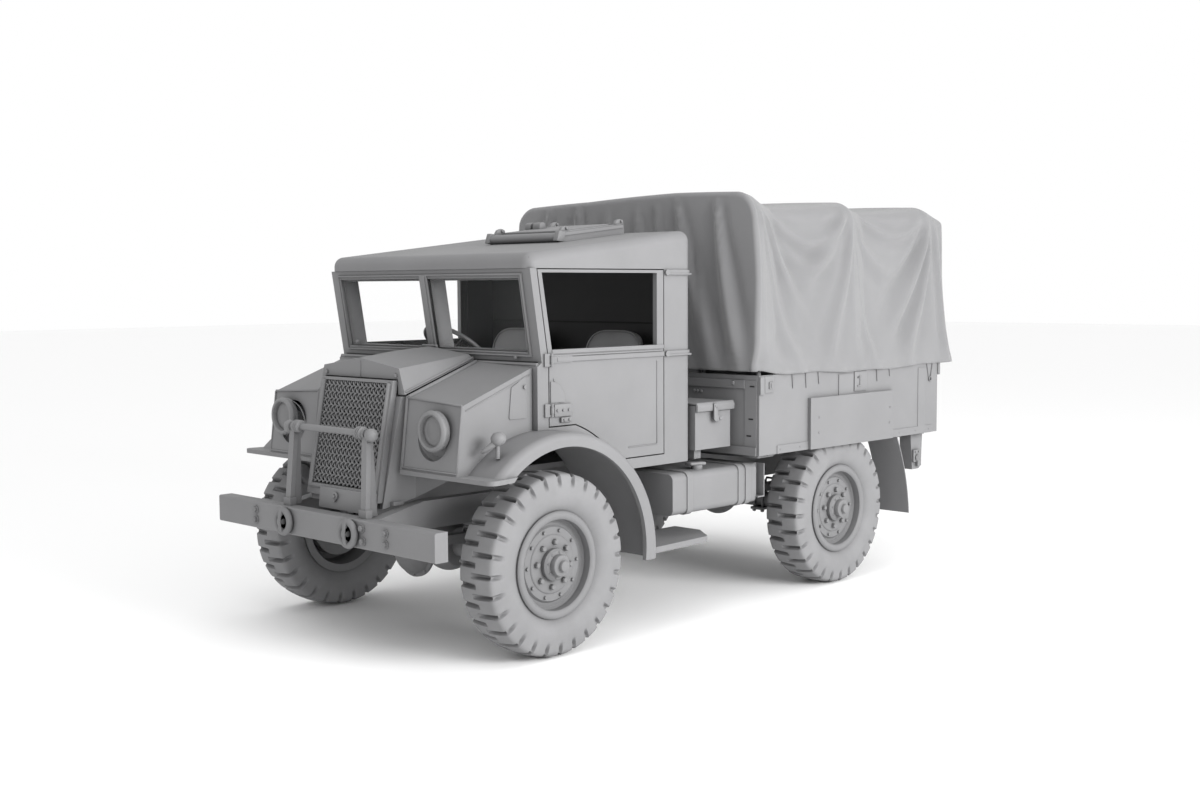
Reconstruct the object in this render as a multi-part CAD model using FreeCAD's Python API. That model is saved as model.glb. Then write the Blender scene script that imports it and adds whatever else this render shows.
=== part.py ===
import FreeCAD, Part
import math
import os

# Light four-wheel-drive army cargo truck, full size, in millimetres.
# Everything is placed from the ground and from the front axle: X to the truck's left, Y to its rear, Z up.
# The last step moves each piece so that the origin lies on the ground below the middle of the whole truck.

V = FreeCAD.Vector

# Driving dimensions
WHEELBASE = 2565
WHEEL_X = 930              # front wheel's centre plane from the truck's middle
REAR_INSET = 32            # how much further in the rear wheels stand
TYRE_RADIUS = 485
TYRE_WIDTH = 266
RIM_SEAT_RADIUS = 254
RIM_FLANGE_RADIUS = 282
KINGPIN_X = 750
BUMPER_FRONT = -759
BUMPER_DEPTH = 82
BUMPER_HALF = 972
BUMPER_BOTTOM = 589
BUMPER_TOP = 738
HOOK_NOSE = -810
RAIL_OUTER_X = 430
RAIL_WIDTH = 70
RAIL_WALL = 8
RAIL_BOTTOM = 650
RAIL_TOP = 800
RAIL_OVERHANG = 1095       # how far the frame reaches behind the rear axle
RAIL_REAR = WHEELBASE + RAIL_OVERHANG
CAB_HALF = 870
CAB_FLOOR_BOTTOM = 902
CAB_BELT = 1524
CAB_TOP = 2018
CAB_REAR = 1267
CAB_WALL = 30
SCREEN_FOOT_Y = 58         # the windscreen leans forward from its foot to its head
SCREEN_HEAD_Y = -22
DOOR_FRONT = 112
DOOR_REAR = 1015
DOOR_BOTTOM = 967
DOOR_THICKNESS = 34
DOOR_GAP = 7
ARCH_Y = 60                # centre of the front wing's arch
ARCH_Z = 470
WING_RADIUS = 700          # crown of the front wing
WING_RIM = 100
ARCH_LIFT = 27             # how far the wheel opening's centre lies above the wing's
ARCH_RADIUS = WING_RADIUS - WING_RIM
WING_OUTER_X = 1060
FLARE_X = 1100             # front corner of the wing
WING_FRONT = -508
WING_LIP_Z = 951
WING_SKIN = 12
BOX_INNER_X = 386          # lamp box beside the bonnet
BOX_OUTER_X = CAB_HALF - 38
BONNET_HALF = 333
BODY_FRONT = WHEELBASE - 900
BODY_REAR = RAIL_REAR + 10
BODY_HALF = 1055
BODY_BOTTOM = 905
BODY_TOP = 1386
BODY_SKIRT = 18
BED_BOTTOM = 985
BED_THICKNESS = 35
BEARER_BOTTOM = 890
TILT_TOP = 2483
TILT_HALF = BODY_HALF - 25
TILT_HEM_Z = 1362
TILT_FRONT = BODY_FRONT - 13
TILT_REAR = BODY_REAR + 160
OVERRUN = 20               # how far a cutting shape passes a face
SEAT_GAP = 0.3             # gap between pieces that bear on each other
MOVE_GAP = 6               # gap round pieces that move
EDGE = 1                   # how near a face an edge lies that is chosen for rounding
PIN_SHARE = 0.5            # hinge pin's radius as a share of its knuckle's
LEAF_SHARE = 0.8           # where a hinge leaf stands, as a share of the hinge's length
LEAF_WIDTH_SHARE = 0.25    # width of a hinge leaf, as a share of the hinge's length

ORIGIN_Y = (HOOK_NOSE + TILT_REAR) / 2
rear_axle_y = WHEELBASE
axle_z = TYRE_RADIUS


def wheel_plane(axle_y):
    """Distance of a wheel's centre plane from the truck's middle."""
    return WHEEL_X if axle_y == 0 else WHEEL_X - REAR_INSET


# Shapes that the pieces share
def box(x0, x1, y0, y1, z0, z1):
    return Part.makeBox(x1 - x0, y1 - y0, z1 - z0, V(x0, y0, z0))


def outline(place, start, *steps):
    """Flat face from a start point and steps, each a point or a (through, end) pair for an arc."""
    edges = []
    here = place(*start)
    for step in steps + (start,):
        if isinstance(step[0], tuple):
            end = place(*step[1])
            edges.append(Part.Arc(here, place(*step[0]), end).toShape())
        else:
            end = place(*step)
            if end.distanceToPoint(here) > SEAT_GAP / 100:
                edges.append(Part.LineSegment(here, end).toShape())
        here = end
    return Part.Face(Part.Wire(edges))


def along_x(x0, x1, start, *steps):
    """Prism between two X planes of an outline of (y, z) points."""
    return outline(lambda a, b: V(x0, a, b), start, *steps).extrude(V(x1 - x0, 0, 0))


def along_y(y0, y1, start, *steps):
    """Prism between two Y planes of an outline of (x, z) points."""
    return outline(lambda a, b: V(a, y0, b), start, *steps).extrude(V(0, y1 - y0, 0))


def along_z(z0, z1, start, *steps):
    """Prism between two Z planes of an outline of (x, y) points."""
    return outline(lambda a, b: V(a, b, z0), start, *steps).extrude(V(0, 0, z1 - z0))


def rod(start, end, radius):
    return Part.makeCylinder(radius, (end - start).Length, start, end - start)


def turned(side, x, y, z, start, *steps):
    """Solid of revolution about the line along X at (y, z): points are (outboard distance from x, radius)."""
    face = outline(lambda a, r: V(x + side * a, y, z + r), start, *steps)
    return face.revolve(V(x, y, z), V(1, 0, 0), 360)


def hull_between(bottom, top):
    """Solid with flat facets between two quadrilaterals, each a list of four points in the same order."""
    corners = []
    for ring in (bottom, top):
        corners += [(ring[0], ring[1], ring[2]), (ring[0], ring[2], ring[3])]
    for i in range(len(bottom)):
        j = (i + 1) % len(bottom)
        corners += [(bottom[i], bottom[j], top[j]), (bottom[i], top[j], top[i])]
    shell = Part.Shell([Part.Face(Part.makePolygon(list(c) + [c[0]])) for c in corners])
    solid = Part.Solid(shell)
    if solid.Volume < 0:
        solid.reverse()
    return solid.removeSplitter()


def mirrored(shape):
    return shape.mirror(V(0, 0, 0), V(1, 0, 0))


def both(shape):
    return [shape, mirrored(shape)]


def fused(first, *rest):
    return first.fuse(list(rest)).removeSplitter()


def cut(first, *rest):
    return first.cut(list(rest)).removeSplitter()


def rounded(solid, radius, direction, chosen=lambda p: True):
    """Fillets the straight edges that run along a direction and whose middle is chosen."""
    edges = []
    for edge in solid.Edges:
        if len(edge.Vertexes) == 2 and isinstance(edge.Curve, Part.Line):
            run = edge.Vertexes[1].Point - edge.Vertexes[0].Point
            if abs(run.normalize().dot(direction)) > math.cos(math.radians(1)):
                if chosen(edge.CenterOfMass):
                    edges.append(edge)
    return solid.makeFillet(radius, edges)


def hinge_barrel(centre, direction, length, barrel_radius, knuckle_radius):
    """Bored barrel of a hinge, on the moving piece."""
    half = direction * (length / 2)
    end = direction * (length / 2 + SEAT_GAP)
    barrel = rod(centre - half, centre + half, barrel_radius)
    return barrel.cut(rod(centre - end, centre + end, knuckle_radius * PIN_SHARE + SEAT_GAP))


def hinge_pin(centre, direction, length, knuckle_radius):
    """Fixed pin of a hinge with a knuckle at each end of it."""
    half = direction * (length / 2)
    end = direction * (length / 2 + SEAT_GAP)
    knuckles = [rod(centre + end * s, centre + end * s + half * s, knuckle_radius) for s in (-1, 1)]
    return fused(rod(centre - end - half / 2, centre + end + half / 2, knuckle_radius * PIN_SHARE), *knuckles)


def export(name, *solids):
    shape = solids[0] if len(solids) == 1 else Part.makeCompound(list(solids))
    shape = shape.copy()
    shape.translate(V(0, -ORIGIN_Y, 0))
    shape.exportStep("parts/" + name + ".step")


os.makedirs("parts", exist_ok=True)
ALONG_X = V(1, 0, 0)
ALONG_Y = V(0, 1, 0)
ALONG_Z = V(0, 0, 1)


# Chassis frame: two deep side rails with drooped front horns, cross members and spring hangers
def frame_rails():
    horn_drop = 62
    horn_front = BUMPER_FRONT + BUMPER_DEPTH
    horn_rear = -390
    horn_depth = RAIL_TOP - RAIL_BOTTOM - horn_drop / 4
    wall = RAIL_WALL
    rail_inner_x = RAIL_OUTER_X - RAIL_WIDTH
    side = ((horn_front, RAIL_TOP - horn_drop - horn_depth), (horn_rear, RAIL_BOTTOM), (RAIL_REAR, RAIL_BOTTOM),
            (RAIL_REAR, RAIL_TOP), (horn_rear, RAIL_TOP), (horn_front, RAIL_TOP - horn_drop))
    channel = along_x(rail_inner_x, RAIL_OUTER_X, *side)
    inside = ((horn_front - OVERRUN, RAIL_TOP - horn_drop - horn_depth + wall),
              (horn_rear, RAIL_BOTTOM + wall), (RAIL_REAR + OVERRUN, RAIL_BOTTOM + wall),
              (RAIL_REAR + OVERRUN, RAIL_TOP - wall), (horn_rear, RAIL_TOP - wall),
              (horn_front - OVERRUN, RAIL_TOP - horn_drop - wall))
    channel = cut(channel, along_x(rail_inner_x - OVERRUN, RAIL_OUTER_X - wall, *inside))
    hanger_width = 60
    hanger_length = 70
    hanger_x = (rail_inner_x + RAIL_OUTER_X) / 2
    hangers = []
    for axle_y in (0, WHEELBASE):
        for end in (-1, 1):
            middle = axle_y + end * SPRING_HALF_LENGTH
            hangers.append(box(hanger_x - hanger_width / 2, hanger_x + hanger_width / 2,
                               middle - hanger_length / 2, middle + hanger_length / 2,
                               RAIL_BOTTOM - HANGER_DROP, RAIL_BOTTOM))
    sides = both(fused(channel, *hangers))
    cross_length = 60
    web_x = RAIL_OUTER_X - wall
    crosses = []
    for middle in (WHEELBASE - CROSS_FROM_AXLE, WHEELBASE + CROSS_FROM_AXLE, RAIL_REAR - cross_length / 2):
        crosses.append(box(-web_x, web_x, middle - cross_length / 2, middle + cross_length / 2,
                           CROSS_BOTTOM, CROSS_BOTTOM + CROSS_HEIGHT))
    return fused(sides[0], sides[1], *crosses)


CROSS_FROM_AXLE = 700
CROSS_HEIGHT = 90
CROSS_BOTTOM = RAIL_TOP - CROSS_HEIGHT - RAIL_WALL
SPRING_HALF_LENGTH = 520
SPRING_X = RAIL_OUTER_X - RAIL_WIDTH / 2
SPRING_WIDTH = 58
SPRING_THICKNESS = 55
AXLE_TUBE_RADIUS = 52
spring_seat_z = axle_z + AXLE_TUBE_RADIUS
HANGER_DROP = 40


# Leaf springs: a curved pack over each axle end, its eyes in the hangers, with U-bolt plate
def leaf_spring(axle_y):
    x0 = SPRING_X - SPRING_WIDTH / 2
    x1 = SPRING_X + SPRING_WIDTH / 2
    end_z = RAIL_BOTTOM - HANGER_DROP - SEAT_GAP
    tip = 14
    low = spring_seat_z + SEAT_GAP
    pack = along_x(x0, x1, (axle_y - SPRING_HALF_LENGTH, end_z - tip),
                   ((axle_y, low), (axle_y + SPRING_HALF_LENGTH, end_z - tip)),
                   (axle_y + SPRING_HALF_LENGTH, end_z),
                   ((axle_y, low + SPRING_THICKNESS), (axle_y - SPRING_HALF_LENGTH, end_z)))
    return pack


# Front bumper: a straight steel channel across the frame horns
def front_bumper():
    wall = 10
    bar = box(-BUMPER_HALF, BUMPER_HALF, BUMPER_FRONT, BUMPER_FRONT + BUMPER_DEPTH, BUMPER_BOTTOM, BUMPER_TOP)
    bar = rounded(bar, wall, ALONG_X, lambda p: p.y < BUMPER_FRONT + wall)
    hollow = box(-BUMPER_HALF + wall, BUMPER_HALF - wall, BUMPER_FRONT + wall,
                 BUMPER_FRONT + BUMPER_DEPTH + OVERRUN, BUMPER_BOTTOM + wall, BUMPER_TOP - wall)
    return cut(bar, hollow)


HOOK_X = 293
HOOK_Z = 662
HOOK_RADIUS = 42
HOOK_EYE = 15
HOOK_EYE_Y = HOOK_NOSE + 25
HOOK_RING = 58
HOOK_RING_THICKNESS = 5.5


# Tow hooks: a forged eye on each side, standing out of a ring that lies on the bumper's front face
def tow_hook():
    thickness = 26
    y_face = BUMPER_FRONT - SEAT_GAP
    eye_y = HOOK_NOSE + HOOK_RADIUS - OVERRUN / 4
    plate = along_x(HOOK_X - thickness / 2, HOOK_X + thickness / 2,
                    (y_face, HOOK_Z - HOOK_RADIUS), (y_face, HOOK_Z + HOOK_RADIUS),
                    (eye_y, HOOK_Z + HOOK_RADIUS), ((HOOK_NOSE, HOOK_Z), (eye_y, HOOK_Z - HOOK_RADIUS)))
    ring = rod(V(HOOK_X, y_face, HOOK_Z), V(HOOK_X, y_face - HOOK_RING_THICKNESS, HOOK_Z), HOOK_RING)
    ring_hole = rod(V(HOOK_X, y_face + OVERRUN, HOOK_Z), V(HOOK_X, y_face - OVERRUN, HOOK_Z), HOOK_RING - thickness)
    ring = cut(ring, ring_hole)
    front = V(HOOK_X - thickness, HOOK_EYE_Y, HOOK_Z)
    eye = rod(front, front + ALONG_X * thickness * 2, HOOK_EYE)
    return cut(fused(plate, ring), eye)


# Brush guard: two flat posts in sockets on the bumper, joined by a round crossbar with collars and ball ends
def brush_guard():
    post_x = 342
    head_x = 326
    foot_y = -700
    head_y = -672
    head_z = 1172
    socket_half = 32
    socket_depth_half = 20
    post_depth_half = 14
    socket_height = 42
    post_half = 22
    bar_radius = 18
    collar_radius = 26
    collar_length = 34
    ball_radius = 24
    pieces = []
    for side in (-1, 1):
        socket = box(side * post_x - socket_half, side * post_x + socket_half, foot_y - socket_depth_half,
                     foot_y + socket_depth_half, BUMPER_TOP + SEAT_GAP, BUMPER_TOP + socket_height)
        foot = [V(side * post_x + dx * post_half, foot_y + dy * post_depth_half, BUMPER_TOP + socket_height / 2)
                for dx, dy in ((-1, -1), (1, -1), (1, 1), (-1, 1))]
        head = [V(side * head_x + dx * post_half, head_y + dy * post_depth_half, head_z)
                for dx, dy in ((-1, -1), (1, -1), (1, 1), (-1, 1))]
        centre = V(side * head_x, head_y, head_z)
        collar = rod(centre - V(side * collar_length, 0, 0), centre, collar_radius)
        ball = Part.makeSphere(ball_radius, centre + V(side * collar_length, 0, 0))
        neck = rod(centre, centre + V(side * collar_length, 0, 0), bar_radius)
        pieces += [socket, hull_between(foot, head), collar, neck, ball]
    bar = rod(V(-head_x, head_y, head_z), V(head_x, head_y, head_z), bar_radius)
    return fused(bar, *pieces)


# Axles: a tube with a banjo casing; the front one ends in swivel balls, the rear one in wheel spindles
DIFF_RADIUS = 140
DIFF_X = 170
SPINDLE_RADIUS = 40
SPINDLE_REACH = 57          # how far a spindle passes the wheel's centre plane
BALL_RADIUS = 76
PIN_RADIUS = 16


def axle(axle_y, half, diff_x):
    tube = rod(V(-half, axle_y, axle_z), V(half, axle_y, axle_z), AXLE_TUBE_RADIUS)
    casing = Part.makeSphere(DIFF_RADIUS, V(diff_x, axle_y, axle_z))
    cover_width = 90
    slab = box(diff_x - cover_width, diff_x + cover_width, axle_y - DIFF_RADIUS - OVERRUN,
               axle_y + DIFF_RADIUS + OVERRUN, axle_z - DIFF_RADIUS - OVERRUN, axle_z + DIFF_RADIUS + OVERRUN)
    nose_length = 200
    nose_radius = 45
    nose_sign = 1 if axle_y == 0 else -1
    nose = rod(V(diff_x, axle_y, axle_z), V(diff_x, axle_y + nose_sign * nose_length, axle_z), nose_radius)
    return fused(tube, casing.common(slab), nose)


def front_axle():
    beam = axle(0, KINGPIN_X, DIFF_X)
    for side in (-1, 1):
        centre = V(side * KINGPIN_X, 0, axle_z)
        reach = V(0, 0, BALL_RADIUS + OVERRUN)
        beam = fused(beam, Part.makeSphere(BALL_RADIUS, centre))
        beam = cut(beam, rod(centre - reach, centre + reach, PIN_RADIUS + SEAT_GAP))
    return beam


def rear_axle():
    beam = axle(rear_axle_y, KINGPIN_X, 0)
    for side in (-1, 1):
        end_x = wheel_plane(rear_axle_y) + SPINDLE_REACH
        spindle = rod(V(side * KINGPIN_X, rear_axle_y, axle_z), V(side * end_x, rear_axle_y, axle_z),
                      SPINDLE_RADIUS)
        flange = rod(V(side * (KINGPIN_X - OVERRUN), rear_axle_y, axle_z),
                     V(side * KINGPIN_X, rear_axle_y, axle_z), BALL_RADIUS)
        beam = fused(beam, spindle, flange)
    return beam


# Steering knuckle: a half cup round the swivel ball, with king pins, wheel spindle and a steering arm
ARM_Y = 170
ARM_INSET = 30
ARM_X = KINGPIN_X - ARM_INSET
ARM_Z = 388
ARM_THICKNESS = 22
ARM_EYE = 24


def knuckle():
    cup_inner = BALL_RADIUS + MOVE_GAP
    cup_wall = 14
    cup_outer = cup_inner + cup_wall
    centre = V(KINGPIN_X, 0, axle_z)
    cup = cut(Part.makeSphere(cup_outer, centre), Part.makeSphere(cup_inner, centre))
    cup = cup.common(box(KINGPIN_X - PIN_RADIUS, KINGPIN_X + cup_outer, -cup_outer, cup_outer,
                         axle_z - cup_outer, axle_z + cup_outer))
    pin_inner = BALL_RADIUS / 2
    pins = []
    for up in (-1, 1):
        pins.append(rod(centre + V(0, 0, up * pin_inner), centre + V(0, 0, up * cup_outer), PIN_RADIUS))
    pin_cap = 10
    caps = []
    for up in (-1, 1):
        caps.append(rod(centre + V(0, 0, up * (cup_outer - pin_cap)),
                        centre + V(0, 0, up * (cup_outer + pin_cap)), PIN_RADIUS * 2))
    spindle = rod(V(KINGPIN_X + cup_inner + SEAT_GAP, 0, axle_z), V(WHEEL_X + SPINDLE_REACH, 0, axle_z),
                  SPINDLE_RADIUS)
    arm_top = ARM_Z + ARM_THICKNESS / 2
    arm_bottom = ARM_Z - ARM_THICKNESS / 2
    half = ARM_EYE
    arm = along_z(arm_bottom, arm_top, (KINGPIN_X - half, 0), (KINGPIN_X + half, 0), (ARM_X + half, ARM_Y),
                  ((ARM_X, ARM_Y + half), (ARM_X - half, ARM_Y)))
    return fused(cup, *pins, *caps, spindle, arm)


# Track rod: joins the two steering arms behind the axle, hung just below their eyes
def tie_rod():
    radius = 15
    z = ARM_Z - ARM_THICKNESS / 2 - SEAT_GAP - radius
    bar = rod(V(-ARM_X, ARM_Y, z - MOVE_GAP), V(ARM_X, ARM_Y, z - MOVE_GAP), radius)
    ends = [rod(V(side * ARM_X, ARM_Y, z - radius), V(side * ARM_X, ARM_Y, z + radius), ARM_EYE)
            for side in (-1, 1)]
    return fused(bar, *ends)


# Wheel: steel disc wheel with a rounded lip, hub and brake drum in one turned form
WHEEL_LIP_X = 118
HUB_CAP_X = 142
HUB_CAP_RADIUS = 40


def wheel(side, axle_y):
    bore = SPINDLE_RADIUS + SEAT_GAP
    bore_end = SPINDLE_REACH + SEAT_GAP
    flange_x = 108
    well_x = 92
    well_drop = 22
    rim_wall = 16
    well_radius = RIM_SEAT_RADIUS - well_drop
    rim_inner = RIM_SEAT_RADIUS - rim_wall
    root_share = 1.4
    drum_radius = 185
    drum_x = -62
    disc_x = 52
    disc_thickness = 12
    bowl_radius = 205
    nave_radius = 84
    cap_neck_x = 118
    bevel = 12
    return turned(
        side, side * wheel_plane(axle_y), axle_y, axle_z,
        (HUB_CAP_X, 0), (HUB_CAP_X, HUB_CAP_RADIUS - bevel), (HUB_CAP_X - bevel, HUB_CAP_RADIUS),
        (cap_neck_x, HUB_CAP_RADIUS), (cap_neck_x - bevel, nave_radius - bevel),
        (cap_neck_x - bevel * 2, nave_radius), (disc_x + disc_thickness, nave_radius),
        (disc_x + disc_thickness, bowl_radius - bevel), (disc_x, bowl_radius),
        (disc_x, rim_inner - bevel), (disc_x + bevel, rim_inner), (flange_x, rim_inner),
        ((WHEEL_LIP_X, (rim_inner + RIM_FLANGE_RADIUS) / 2), (flange_x, RIM_FLANGE_RADIUS)),
        (well_x + bevel / 2, RIM_FLANGE_RADIUS), (well_x, RIM_SEAT_RADIUS),
        (-well_x, RIM_SEAT_RADIUS), (-well_x - bevel / 2, RIM_FLANGE_RADIUS), (-flange_x, RIM_FLANGE_RADIUS),
        (-flange_x, rim_inner), (disc_x - disc_thickness * 2, well_radius - bevel),
        (disc_x - disc_thickness, bowl_radius - bevel), (disc_x - disc_thickness, nave_radius * root_share),
        (0, drum_radius), (drum_x, drum_radius), (drum_x, bore), (bore_end, bore), (bore_end, 0))


# Tyre: faceted carcass between the rim flanges, with tapered grooves cut between its bars from each shoulder
# towards the middle; the grooves of one half stand between those of the other
BARS = 28
GROOVE_TOP = 30            # groove's width at the tread's surface
GROOVE_FOOT = 12
BEAD_X = 92
BEAD_LIP = 4
FLANGE_CLEAR = 6
BULGE_SHARE = 0.746        # height of the flank's widest place, as a share of the tyre's radius
WALL_SHARE = 0.85          # height where the grooves start on the flank
WALL_INSET = 4
SHOULDER_INSET = 15
SHOULDER_DROP = 7
SHOULDER_DEPTH = 35
TREAD_DEPTH = 28
TREAD_HALF_MIDDLE = 14


def tyre_half(hand, ring):
    """Faces of one half of the tyre; ring places a point from its distance to the middle, radius and angle."""
    pitch = 2 * math.pi / BARS
    phase = 0 if hand > 0 else pitch / 2
    across = math.cos(pitch / 2)
    top_turn = GROOVE_TOP / TYRE_RADIUS / 2
    foot_turn = GROOVE_FOOT / TYRE_RADIUS / 2
    half = TYRE_WIDTH / 2
    bead = (BEAD_X, (RIM_SEAT_RADIUS + SEAT_GAP) / across)
    flange = (BEAD_X + BEAD_LIP, RIM_FLANGE_RADIUS + FLANGE_CLEAR)
    bulge = (half, TYRE_RADIUS * BULGE_SHARE)
    wall = (half - WALL_INSET, TYRE_RADIUS * WALL_SHARE)
    shoulder = (half - SHOULDER_INSET, TYRE_RADIUS - SHOULDER_DROP)
    shoulder_foot = (shoulder[0] - BEAD_LIP, shoulder[1] - SHOULDER_DEPTH)
    crown = (TREAD_HALF_MIDDLE, TYRE_RADIUS)
    crown_foot = (TREAD_HALF_MIDDLE + BEAD_LIP, TYRE_RADIUS - TREAD_DEPTH)

    def put(point, angle):
        return ring(hand * point[0], point[1], phase + angle)

    faces = []
    for i in range(BARS):
        here = i * pitch
        after = here + pitch
        for low, high in ((bead, flange), (flange, bulge)):
            faces.append((put(low, here), put(low, after), put(high, after), put(high, here)))
        faces.append((put(bulge, here), put(wall, here - foot_turn), put(wall, here + foot_turn)))
        faces.append((put(bulge, here), put(bulge, after), put(wall, after - foot_turn),
                      put(wall, here + foot_turn)))
        faces.append((put(wall, here + foot_turn), put(wall, after - foot_turn), put(shoulder, after - top_turn),
                      put(shoulder, here + top_turn)))
        faces.append((put(shoulder, here + top_turn), put(shoulder, after - top_turn), put(crown, after - top_turn),
                      put(crown, here + top_turn)))
        faces.append((put(wall, here - foot_turn), put(wall, here + foot_turn),
                      put(shoulder_foot, here + foot_turn), put(shoulder_foot, here - foot_turn)))
        faces.append((put(shoulder_foot, here - foot_turn), put(shoulder_foot, here + foot_turn),
                      put(crown_foot, here + foot_turn), put(crown_foot, here - foot_turn)))
        faces.append((put(crown, here - top_turn), put(crown, here + top_turn), put(crown_foot, here + foot_turn),
                      put(crown_foot, here - foot_turn)))
        for turn in (-1, 1):
            top = here + turn * top_turn
            foot = here + turn * foot_turn
            faces.append((put(wall, foot), put(shoulder, top), put(shoulder_foot, foot)))
            faces.append((put(shoulder, top), put(crown, top), put(shoulder_foot, foot)))
            faces.append((put(crown, top), put(crown_foot, foot), put(shoulder_foot, foot)))
    bead_ring = [put(bead, i * pitch) for i in range(BARS)]
    crown_ring = []
    for i in range(BARS):
        crown_ring += [put(crown, i * pitch - top_turn), put(crown, i * pitch + top_turn)]
    return faces, bead_ring, crown_ring


def tyre(side, axle_y):
    def ring(x, radius, angle):
        return V(side * (wheel_plane(axle_y) + x), axle_y + radius * math.sin(angle),
                 axle_z + radius * math.cos(angle))

    outer, outer_bead, outer_crown = tyre_half(1, ring)
    inner, inner_bead, inner_crown = tyre_half(-1, ring)
    faces = outer + inner
    for i in range(BARS):
        j = (i + 1) % BARS
        faces += [(outer_bead[i], outer_bead[j], inner_bead[i]), (inner_bead[i], inner_bead[j], outer_bead[j])]
        here = (outer_crown[2 * i], outer_crown[2 * i + 1], outer_crown[2 * j])
        there = (inner_crown[2 * i], inner_crown[2 * i + 1], inner_crown[2 * j])
        faces += [(here[0], here[1], there[0]), (here[1], here[2], there[0]),
                  (there[0], there[1], here[2]), (there[1], there[2], here[2])]
    shell = Part.Shell([Part.Face(Part.makePolygon(list(f) + [f[0]])) for f in faces])
    solid = Part.Solid(shell)
    if solid.Volume < 0:
        solid.reverse()
    return solid


# Engine, gearbox and drive shafts: plain forms at their real place
ENGINE_HALF = 215
ENGINE_FRONT = -330
ENGINE_REAR = 520
ENGINE_BOTTOM = 660
ENGINE_TOP = 1270


def engine_block():
    sump_half = 150
    shoulder_z = 860
    bevel = 60
    block = along_y(ENGINE_FRONT, ENGINE_REAR, (-sump_half, ENGINE_BOTTOM), (sump_half, ENGINE_BOTTOM),
                    (ENGINE_HALF, shoulder_z), (ENGINE_HALF, ENGINE_TOP - bevel),
                    (ENGINE_HALF - bevel, ENGINE_TOP), (-ENGINE_HALF + bevel, ENGINE_TOP),
                    (-ENGINE_HALF, ENGINE_TOP - bevel), (-ENGINE_HALF, shoulder_z))
    mount_x = RAIL_OUTER_X - RAIL_WALL - SEAT_GAP
    mounts = [box(-mount_x, mount_x, y, y + bevel, RAIL_BOTTOM + bevel, RAIL_BOTTOM + bevel + bevel / 2)
              for y in (ENGINE_FRONT + bevel * 2, ENGINE_REAR - bevel * 2)]
    return fused(block, *mounts)


def driveline():
    box_half = 140
    box_rear = 1000
    box_bottom = 600
    box_top = 880
    case_front = 1180
    case_rear = 1420
    case_half = 190
    case_bottom = 500
    case_top = 790
    shaft_radius = 32
    nose_length = 200
    coupling_gap = 10
    casing = box(-box_half, box_half, ENGINE_REAR + SEAT_GAP, box_rear, box_bottom, box_top)
    casing = rounded(casing, box_half / 3, ALONG_Y)
    case = rounded(box(-case_half, case_half, case_front, case_rear, case_bottom, case_top), box_half / 3, ALONG_X)
    link = rod(V(0, box_rear - OVERRUN, (box_bottom + box_top) / 2),
               V(0, case_front + OVERRUN, case_top - box_half), shaft_radius)
    front_shaft = rod(V(DIFF_X, nose_length + coupling_gap, axle_z),
                      V(DIFF_X, case_front + OVERRUN, case_bottom + box_half), shaft_radius)
    rear_shaft = rod(V(0, case_rear - OVERRUN, case_bottom + box_half),
                     V(0, rear_axle_y - nose_length - coupling_gap, axle_z), shaft_radius)
    return fused(casing, case, link, front_shaft, rear_shaft)


# Exhaust: down pipe, silencer below the bed and a tail pipe
def exhaust():
    pipe = 28
    silencer_radius = 85
    x = -RAIL_OUTER_X + RAIL_WIDTH + silencer_radius + OVERRUN
    z = 590
    head_y = 300
    head_z = 830
    hanger_y = WHEELBASE - CROSS_FROM_AXLE
    silencer_front = hanger_y - silencer_radius * 4
    silencer_rear = hanger_y + silencer_radius * 2.5
    silencer = rod(V(x, silencer_front, z), V(x, silencer_rear, z), silencer_radius)
    tail = rod(V(x, silencer_rear, z), V(x, silencer_rear + silencer_radius * 2, z), pipe)
    front_pipe = rod(V(x, head_y, z), V(x, silencer_front, z), pipe)
    down_pipe = rod(V(x, head_y, z), V(x, head_y, head_z), pipe)
    branch = rod(V(x, head_y, head_z), V(-ENGINE_HALF - MOVE_GAP, head_y, head_z), pipe)
    elbows = [Part.makeSphere(pipe, V(x, head_y, height)) for height in (z, head_z)]
    hanger = box(x - pipe / 4, x + pipe / 4, hanger_y - pipe / 2, hanger_y + pipe / 2, z, CROSS_BOTTOM - SEAT_GAP)
    return fused(silencer, tail, front_pipe, down_pipe, branch, *elbows, hanger)


# Nose: sheet surround of the radiator, from the grille frame back to the lamp boxes
NOSE_BOTTOM = 766
GRILLE_TOP_Y = -490
GRILLE_TOP_Z = 1435
GRILLE_FOOT_Y = -606
GRILLE_FOOT_Z = 800
GRILLE_HALF = 317
MESH_HALF = 276
NOSE_SKIN = 6


def grille_y(z):
    """The leaning front plane of the nose."""
    return GRILLE_FOOT_Y + (GRILLE_TOP_Y - GRILLE_FOOT_Y) * (z - GRILLE_FOOT_Z) / (GRILLE_TOP_Z - GRILLE_FOOT_Z)


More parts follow.
